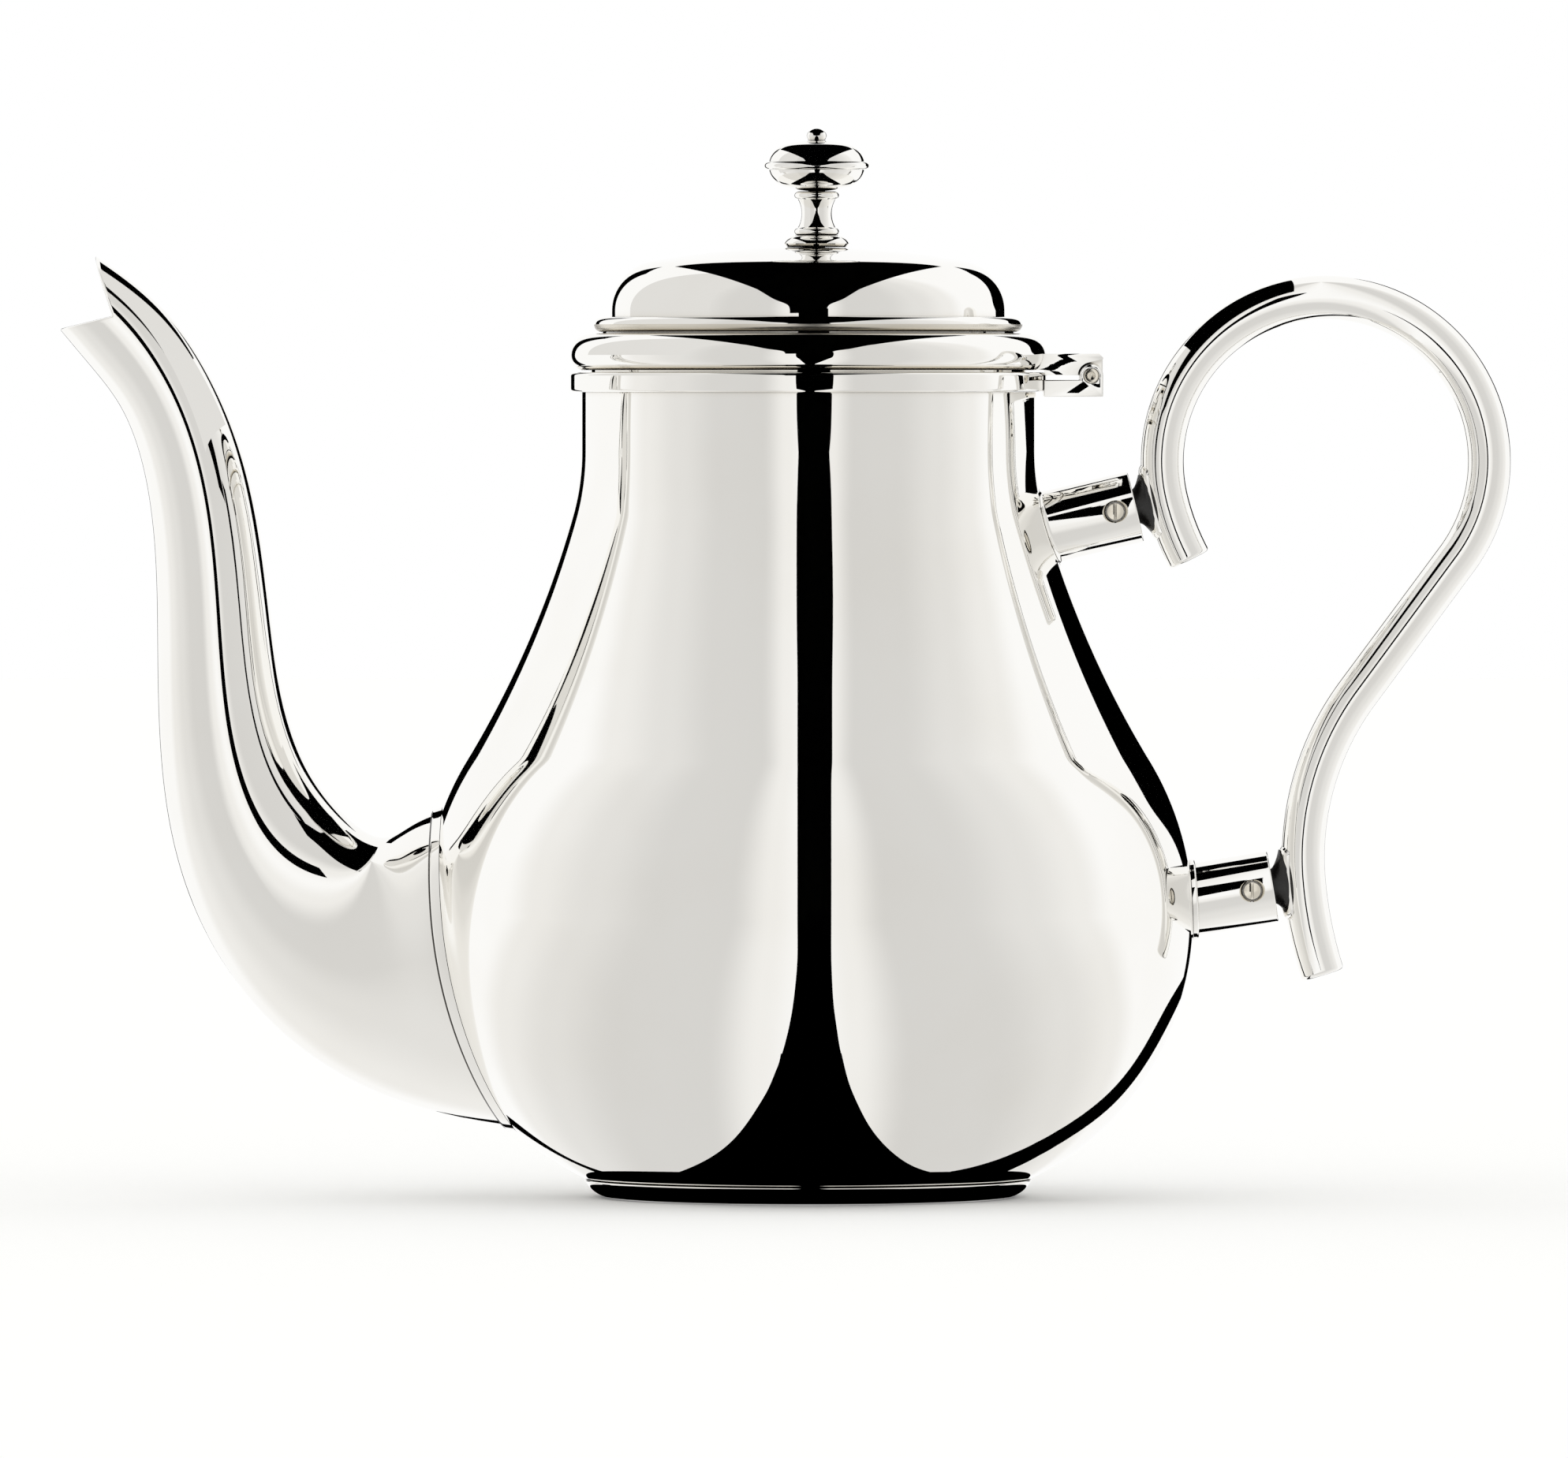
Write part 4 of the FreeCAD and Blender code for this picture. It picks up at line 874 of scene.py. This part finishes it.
def bow(start, end, rise):
    """Points of a shallow arc between two points of an outline, bulging to the right of the way by rise."""
    start, end = np.array(start), np.array(end)
    chord = end - start
    out = np.array((chord[1], -chord[0])) / norm(chord)
    share = np.linspace(0, 1, max(10, round(norm(chord) / TURN_REACH)))
    half = norm(chord) / 2
    radius = (half ** 2 + rise ** 2) / (2 * abs(rise))
    along = (2 * share - 1) * half
    height = np.sign(rise) * (np.sqrt(radius ** 2 - along ** 2) - (radius - abs(rise)))
    return [tuple(p) for p in start + share[:, None] * chord + height[:, None] * out]


stem_z = lid_top_z + CUSHION_HEIGHT
spool_z = stem_z + STEM_BEAD
spool_top = spool_z + SPOOL_HEIGHT
ball_z = spool_top + STEM_BEAD
tip_z = ball_z + BALL_HEIGHT
cushion = [(FINIAL_BORE, lid_top_z), (CUSHION_R - CUSHION_LIP, lid_top_z)]
cushion += bow((CUSHION_R, lid_top_z + CUSHION_LIP), (STEM_BEAD_R, stem_z), CUSHION_BULGE)
cushion += [(FINIAL_BORE, stem_z)]
dress(turned("finial_cushion", cushion, FINIAL_AXIS), "finial_base")

stem = bow((SPOOL_R, stem_z), (SPOOL_R, spool_z), STEM_BEAD_R - SPOOL_R)
stem += bow((SPOOL_R, spool_z), (SPOOL_R, spool_top), WAIST_R - SPOOL_R)
stem += bow((SPOOL_R, spool_top), (SPOOL_R, ball_z), STEM_BEAD_R - SPOOL_R)
stem += [(FINIAL_BORE, ball_z), (FINIAL_BORE, stem_z)]
dress(turned("finial_waist", stem, FINIAL_AXIS), "finial_stem")

half_ball = BALL_HEIGHT / 2
ball_mid = ball_z + half_ball
side_r = BALL_R - BALL_SHOULDER
ball_crown = (BALL_R ** 2 + half_ball ** 2 - 2 * BALL_R * BALL_SHOULDER) / (2 * (half_ball - BALL_SHOULDER))
side_turn = asin((ball_crown - half_ball) / (ball_crown - BALL_SHOULDER))
band_turn = asin(BALL_BAND / BALL_SHOULDER)
band_r = side_r + BALL_SHOULDER * cos(band_turn)
ball = bend((0, ball_z + ball_crown), ball_crown, -RIGHT_ANGLE, -side_turn, TURN_REACH)
ball += bend((side_r, ball_mid), BALL_SHOULDER, -side_turn, -band_turn, TURN_REACH)[1:]
ball += bow((band_r, ball_mid - BALL_BAND), (band_r, ball_mid + BALL_BAND), BALL_R + BALL_BAND - band_r)
ball += bend((side_r, ball_mid), BALL_SHOULDER, band_turn, side_turn, TURN_REACH)
ball += bend((0, tip_z - ball_crown), ball_crown, side_turn, RIGHT_ANGLE, TURN_REACH)[1:]
dress(turned("finial_knob", ball, FINIAL_AXIS, loop=False), "finial_ball")

rise = TIP_HEIGHT / 2
cap_r = (TIP_R ** 2 + rise ** 2) / (2 * rise)
cap_turn = asin(TIP_R / cap_r)
side_z = tip_z + TIP_HEIGHT - rise
tip = [(0, tip_z), (TIP_R - TIP_EASE, tip_z)] + bend((TIP_R - TIP_EASE, side_z - TIP_EASE), TIP_EASE, 0,
                                                     RIGHT_ANGLE - cap_turn, TURN_REACH / 2)
tip += bend((0, tip_z + TIP_HEIGHT - cap_r), cap_r, RIGHT_ANGLE - cap_turn * 0.9, RIGHT_ANGLE, TURN_REACH)
dress(turned("finial_button", tip, FINIAL_AXIS, loop=False), "finial_tip")
print("finial top in mm:", round((tip_z + TIP_HEIGHT) / MM, 1))

# %% [markdown]
# Two short tubes, soldered to the body, carry the handle. Each one's root follows the body's skin: every line
# along the tube is slid in until it meets the body. The upper one has a fillet of solder, the lower one a raised
# ring. A round recess with a bevelled rim takes the set screw.

# %% Handle sockets
SOCKET_R = 6.4 * MM
SOCKET_WALL = 1.4 * MM
SOCKET_EASE = 0.25 * MM
SOLDER_FILLET = 0.7 * MM
SOCKET_RING = 0.7 * MM
SCREW_SETBACK = 3.8 * MM
SCREW_RECESS_R = 1.8 * MM
SCREW_BEVEL = 0.25 * MM
SCREW_SEAT = 0.95 * MM
STANDOFF = 1.8 * MM
TUBE_R = 3.85 * MM
NEAR_SIDE = np.array((0, -1, 0))
ROUND = 96
HALVINGS = 30


def halve(passes, near, far):
    """Close in on the place between near and far where a test that near passes starts to fail."""
    for _ in range(HALVINGS):
        middle = (near + far) / 2
        near, far = (middle, far) if passes(middle) else (near, middle)
    return near, far


class Socket:
    """Place of a handle socket: its axis leaves the body at a height, at a tilt."""

    def __init__(self, height, tilt, length):
        self.axis = np.array((cos(tilt), 0, sin(tilt)))
        self.end = np.array((body_radius(height), 0, height)) + self.axis * length
        self.screw = self.end - self.axis * SCREW_SETBACK
        self.joint = self.end + self.axis * (STANDOFF + TUBE_R)
        self.length = length

    def root_ring(self, radius, lift):
        """Ring round the axis whose points are slid along it until they are lift off the body."""
        points = []
        for spot in ring(self.end, self.axis, radius, AROUND):
            meets = halve(lambda along: outside_body([spot + self.axis * along])[0] < lift,
                          -self.length - SOCKET_R, 0.0)[1]
            points.append(spot + self.axis * meets)
        return np.array(points)


UPPER = Socket(118.9 * MM, radians(13.5), 15.9 * MM)
LOWER = Socket(52.8 * MM, radians(9.5), 14.2 * MM)
SOCKETS = (("upper", UPPER), ("lower", LOWER))
quarter = np.linspace(0, RIGHT_ANGLE, 9)
fillet = [(SOCKET_R + SOLDER_FILLET * (1 - sin(a)), SOLDER_GAP + SOLDER_FILLET * (1 - cos(a))) for a in quarter]
raised = [(SOCKET_R + SOCKET_RING, SOLDER_GAP)]
raised += [(SOCKET_R + SOCKET_RING - SOCKET_EASE * (1 - cos(a)), SOCKET_RING + SOCKET_EASE * sin(a))
           for a in quarter]
raised += [(SOCKET_R, SOCKET_RING + SOCKET_EASE)]
bore_r = SOCKET_R - SOCKET_WALL
rim = [(SOCKET_R - SOCKET_EASE * (1 - cos(a)), -SOCKET_EASE * (1 - sin(a))) for a in quarter]
rim += [(bore_r + SOCKET_EASE * (1 - sin(a)), -SOCKET_EASE * (1 - cos(a))) for a in quarter]
recess = [(0, -SCREW_SEAT), (SCREW_RECESS_R, -SCREW_SEAT), (SCREW_RECESS_R, -2 * SCREW_BEVEL),
          (SCREW_RECESS_R + SOCKET_R, SOCKET_R - 2 * SCREW_BEVEL), (0, SOCKET_R - 2 * SCREW_BEVEL)]
for (side, place), root in zip(SOCKETS, (fillet, raised)):
    rows = [place.root_ring(radius, lift) for radius, lift in root]
    rows += [ring(place.end + place.axis * along, place.axis, radius) for radius, along in rim]
    rows += [place.root_ring(bore_r, SOLDER_GAP)]
    tube = skin(side + "_socket_tube", rows, loop=True)
    carve(tube, turned("recess", recess, place.screw + NEAR_SIDE * SOCKET_R, NEAR_SIDE, loop=False, steps=ROUND))
    dress(tube, side + "_socket")

# %% [markdown]
# The set screws are cheese heads with a sawn slot. The head is turned with a slight crown and an eased edge, and
# the slot is a narrow block cut out of it.

# %% Set screws
SCREW_HEAD_R = 1.5 * MM
SCREW_SINK = 0.15 * MM
SCREW_CROWN = 0.18 * MM
SCREW_EASE = 0.15 * MM
SCREW_SHANK_R = 1.0 * MM
SCREW_REACH = 4.75 * MM
SLOT_WIDTH = 0.5 * MM
SLOT_DEPTH = 0.45 * MM

crown = [(SCREW_HEAD_R * share, -SCREW_SINK + SCREW_CROWN * (1 - share ** 2)) for share in np.linspace(0, 0.9, 10)]
edge = bend((SCREW_HEAD_R - SCREW_EASE, -SCREW_SINK - SCREW_EASE), SCREW_EASE, RIGHT_ANGLE, 0)
shank = [(SCREW_HEAD_R, -SCREW_SEAT), (SCREW_SHANK_R, -SCREW_SEAT), (SCREW_SHANK_R, -SCREW_REACH)]
shank += [(0, -SCREW_REACH)]
for side, place in SOCKETS:
    seat = place.screw + NEAR_SIDE * SOCKET_R
    screw = turned(side + "_set_screw", crown + edge + shank, seat, NEAR_SIDE, loop=False, steps=ROUND)
    corners = [seat + (sx * SLOT_WIDTH / 2, sy, sz * 2 * SCREW_HEAD_R) for sy in (SLOT_DEPTH, -SOCKET_R)
               for sx, sz in ((-1, -1), (1, -1), (1, 1), (-1, 1))]
    sides = [(i, (i + 1) % 4, 4 + (i + 1) % 4, 4 + i) for i in range(4)]
    saw = mesh_object("saw", corners, [(3, 2, 1, 0), (4, 5, 6, 7)] + sides)
    carve(screw, saw)
    dress(screw, side + "_socket_screw", finish=nickel, slot="nickel_silver")

# %% [markdown]
# The handle is one length of round tube bent into a question mark: a slack tail, the big loop, a straight run,
# a reverse bend and another tail. Its centre line is those arcs, and a ring of points rides along it. A curve
# object with a bevel would do too, but its rings would not line up with the caps and saddles below.

# %% Handle line
LOOP_R = 29 * MM
LOOP_LEAN = radians(36.5)
LOWER_LEAN = radians(5)
UPPER_TILT = radians(13.5)
UPPER_TAIL, UPPER_TAIL_ARC = 11.8 * MM, 45 * MM
LOWER_TAIL, LOWER_TAIL_ARC = 17.2 * MM, 75 * MM
CAP_LENGTH = 1.2 * MM
PATH_REACH = 0.5 * MM


def flat(point):
    """Side view of a point: across and up."""
    return np.array((point[0], point[-1]))


upper_joint, lower_joint = flat(UPPER.joint), flat(LOWER.joint)
upper_axis, lower_axis = flat(UPPER.axis), np.array((cos(LOWER_LEAN), sin(LOWER_LEAN)))
loop_centre = upper_joint + upper_axis * LOOP_R
run_start = loop_centre + LOOP_R * np.array((cos(LOOP_LEAN), -sin(LOOP_LEAN)))
run_way = np.array((-sin(LOOP_LEAN), -cos(LOOP_LEAN)))
tail_way = np.array((sin(LOWER_LEAN), -cos(LOWER_LEAN)))
run_length = np.linalg.solve(np.stack([run_way, -tail_way], axis=1), lower_joint - run_start)[0]
corner = run_start + run_way * run_length
bend_reach = norm(lower_joint - corner)
bend_r = bend_reach / tan((LOOP_LEAN + LOWER_LEAN) / 2)
upper_turn, lower_turn = pi + UPPER_TILT, pi + LOWER_LEAN
upper_tail = bend(upper_joint + upper_axis * UPPER_TAIL_ARC, UPPER_TAIL_ARC,
                  upper_turn + (UPPER_TAIL - CAP_LENGTH) / UPPER_TAIL_ARC, upper_turn, PATH_REACH)
big_loop = bend(loop_centre, LOOP_R, upper_turn, -LOOP_LEAN, PATH_REACH)
reverse = bend(lower_joint + lower_axis * bend_r, bend_r, pi - LOOP_LEAN, lower_turn, PATH_REACH)
lower_tail = bend(lower_joint + lower_axis * LOWER_TAIL_ARC, LOWER_TAIL_ARC, lower_turn,
                  lower_turn + (LOWER_TAIL - CAP_LENGTH) / LOWER_TAIL_ARC, PATH_REACH)
run = [tuple(run_start + run_way * step) for step in np.arange(PATH_REACH, run_length - bend_reach, PATH_REACH)]
line = np.array(upper_tail + big_loop[1:] + run + reverse + lower_tail[1:])
handle_line = np.stack([line[:, 0], np.zeros(len(line)), line[:, 1]], axis=1)
handle_way = np.gradient(handle_line, axis=0)
handle_way /= norm(handle_way, axis=1)[:, None]
handle_at = lengths(handle_line)
print("tube length in mm:", round(handle_at[-1] / MM, 1))

# %% [markdown]
# The tube is a ring of points at every step of that line. Plugs soldered into it close its two ends: their edge
# is filed round and their face keeps a slight crown. They are turned about the line's first and last direction.

# %% Handle tube and its closed ends
CAP_ROUND = 0.7 * MM
CAP_CROWN = 0.2 * MM

rows = [ring(spot, way, TUBE_R, ROUND) for spot, way in zip(handle_line, handle_way)]
closing = [ring(handle_line[i], handle_way[i], 0, ROUND) for i in (0, -1)]
dress(skin("handle_bar", [closing[0]] + rows + [closing[1]]), "handle_tube")
cap = [(0, 0), (TUBE_R, 0)]
cap += bend((TUBE_R - CAP_ROUND, CAP_LENGTH - CAP_CROWN - CAP_ROUND), CAP_ROUND, 0, RIGHT_ANGLE, 0.08 * MM)
cap += [((TUBE_R - CAP_ROUND) * share, CAP_LENGTH - CAP_CROWN * share ** 2) for share in np.linspace(0.95, 0, 8)]
for side, i, out in (("upper", 0, -1), ("lower", -1, 1)):
    end = turned(side + "_handle_end", cap, handle_line[i], handle_way[i] * out, loop=False, steps=ROUND)
    dress(end, "handle_" + side + "_plug")

# %% [markdown]
# Between socket and handle sits a black insulator: a plug inside the socket, a neck, and a trumpet that spreads
# along the tube. Its lines run out from the socket until they meet the handle, so the trumpet hugs the tube. It
# is taller than wide, because it follows the tube's length.

# %% Insulators
PLUG_LENGTH = 8.0 * MM
PLUG_SINK = 0.15 * MM
TRUMPET_NECK = 3.1 * MM
TRUMPET_FLARE = 5.6 * MM
TRUMPET_WIDTH = 3.3 * MM
TRUMPET_CURVE = 1.7
TRUMPET_LIMIT = 1.25
TRUMPET_ROWS = 24
SADDLE = 0.5 * MM


def to_handle(point):
    """Distance of a point from the handle's centre line."""
    return np.sqrt(((handle_line - point) ** 2).sum(axis=1).min())


def trumpet_spot(place, turn, along):
    """Point of the trumpet at an angle round its axis, along from the socket's end."""
    spread = min(along / STANDOFF, TRUMPET_LIMIT) ** TRUMPET_CURVE
    tall = TRUMPET_NECK + (TRUMPET_FLARE - TRUMPET_NECK) * spread
    wide = TRUMPET_NECK + (TRUMPET_WIDTH - TRUMPET_NECK) * spread
    across = np.cross((0, 1, 0), place.axis)
    return place.end + place.axis * along + across * tall * cos(turn) + np.array((0, wide * sin(turn), 0))


for side, place in SOCKETS:
    lines = []
    for turn in round_turns(ROUND):
        reach = halve(lambda along: to_handle(trumpet_spot(place, turn, along)) > TUBE_R + SADDLE + SOLDER_GAP,
                      0.0, STANDOFF + TUBE_R)[0]
        lines.append([trumpet_spot(place, turn, share * reach) for share in np.linspace(0, 1, TRUMPET_ROWS)])
    trumpet = np.array(lines).transpose(1, 0, 2)
    plug_r = bore_r - SOLDER_GAP
    plug = [ring(place.end + place.axis * along, place.axis, radius, ROUND) for radius, along in
            ((0, -PLUG_LENGTH), (plug_r, -PLUG_LENGTH), (plug_r, -PLUG_SINK), (TRUMPET_NECK, -PLUG_SINK))]
    closing = [np.repeat(trumpet[-1].mean(axis=0, keepdims=True), ROUND, axis=0)]
    insulator = skin(side + "_trumpet", np.concatenate([plug, trumpet, closing]))
    dress(insulator, side + "_insulator", finish=phenolic, slot="insulator")

# %% [markdown]
# Under each trumpet a thin saddle is brazed to the tube. It is a small sheet wrapped round the tube whose edge
# thins out to nothing, so it shows as a bright rim.

# %% Saddles
SADDLE_HALF = 6.2 * MM
SADDLE_WIDTH = 3.3 * MM
SADDLE_STEPS = 25
SADDLE_SEAT = SOLDER_GAP * 0.6
SADDLE_EDGE = 8


def on_handle(at):
    """Point and direction of the handle's centre line at a distance along it."""
    spot = np.array([np.interp(at, handle_at, handle_line[:, k]) for k in range(3)])
    way = np.array([np.interp(at, handle_at, handle_way[:, k]) for k in range(3)])
    return spot, way / norm(way)


for side, place in SOCKETS:
    joint_at = handle_at[np.argmin(((handle_line - place.joint) ** 2).sum(axis=1))]
    spread = asin(SADDLE_WIDTH / (TUBE_R + SADDLE))
    rows = []
    for lift, shares in ((1, np.linspace(-1, 1, SADDLE_STEPS)), (0, np.linspace(1, -1, SADDLE_STEPS))):
        for share in shares:
            turn = spread * share
            reach = SADDLE_HALF * sqrt(max(1 - (share * SADDLE_WIDTH / SADDLE_HALF) ** 2, 0))
            row = []
            for step in np.linspace(-1, 1, SADDLE_STEPS):
                spot, way = on_handle(joint_at + step * reach)
                inward = np.cross(way, (0, 1, 0))
                inward *= -np.sign(inward @ place.axis)
                edge = (1 - abs(share) ** SADDLE_EDGE) * (1 - abs(step) ** SADDLE_EDGE)
                r = TUBE_R + SADDLE_SEAT + lift * SADDLE * sqrt(edge)
                row.append(spot + r * (inward * cos(turn) + np.array((0, sin(turn), 0))))
            rows.append(row)
    count = SADDLE_STEPS
    points = np.array(rows).reshape(-1, 3)
    faces = []
    for i in range(2 * count):
        here, there = i * count, (i + 1) % (2 * count) * count
        faces += [(here + j, here + j + 1, there + j + 1, there + j) for j in range(count - 1)]
    pad = mesh_object(side + "_saddle", points, faces)
    dress(pad, side + "_handle_stud")

# %% [markdown]
# The hinge is filed from bar: two leaves with interlocking knuckles and a pin. The leaves keep the CAD shape,
# and only their edges change: each crisp edge of a copy is bevelled by a fraction of a millimetre, as
# filing and mopping leave it.

# %% Hinge leaves
LEAF_EASE = 0.18 * MM
COPLANAR = radians(1)


def eased(name, node, width):
    """Copy of a CAD piece with its crisp edges rounded."""
    source = nodes[node].data
    made = mesh_object(name, [v.co for v in source.vertices], [tuple(p.vertices) for p in source.polygons])
    shape = bmesh.new()
    shape.from_mesh(made.data)
    bmesh.ops.remove_doubles(shape, verts=shape.verts, dist=MERGE * 10)
    bmesh.ops.dissolve_limit(shape, angle_limit=COPLANAR, verts=shape.verts, edges=shape.edges)
    crisp = [e for e in shape.edges if len(e.link_faces) == 2 and e.calc_face_angle() > CRISP]
    bmesh.ops.bevel(shape, geom=crisp, offset=width, offset_type="OFFSET", segments=3, profile=0.5,
                    affect="EDGES", clamp_overlap=True)
    shape.to_mesh(made.data)
    shape.free()
    return made


for name, node in (("hinge_lower_leaf", "hinge_body_leaf"), ("hinge_upper_leaf", "hinge_lid_leaf")):
    dress(eased(name, node, LEAF_EASE), node)

# %% [markdown]
# The pin's ends are peened: a rounded rim and a dimple from the punch, which shows as a dark spot in a bright
# ring.

# %% Hinge pin
PIN_R = 1.3 * MM
PIN_EASE = 0.2 * MM
DIMPLE_R = 0.75 * MM
DIMPLE_DEPTH = 0.4 * MM

pin_low, pin_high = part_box("hinge_pin")
pin_middle = np.array((pin_low + pin_high) / 2)
pin_half = (pin_high.y - pin_low.y) / 2
dimple = [(DIMPLE_R * share, pin_half - DIMPLE_DEPTH * (1 - share ** 2)) for share in np.linspace(0, 1, 10)]
end = dimple + bend((PIN_R - PIN_EASE, pin_half - PIN_EASE), PIN_EASE, RIGHT_ANGLE, 0, 0.04 * MM)
other_end = [(r, -along) for r, along in reversed(end)]
pin = turned("hinge_peened_pin", end + other_end, pin_middle, (0, 1, 0), loop=False, steps=ROUND)
dress(pin, "hinge_pin", finish=nickel, slot="nickel_silver")

# %% [markdown]
# Last, a count of the CAD nodes.

# %% Count of CAD nodes
print("boxes written, CAD nodes:", len(nodes))
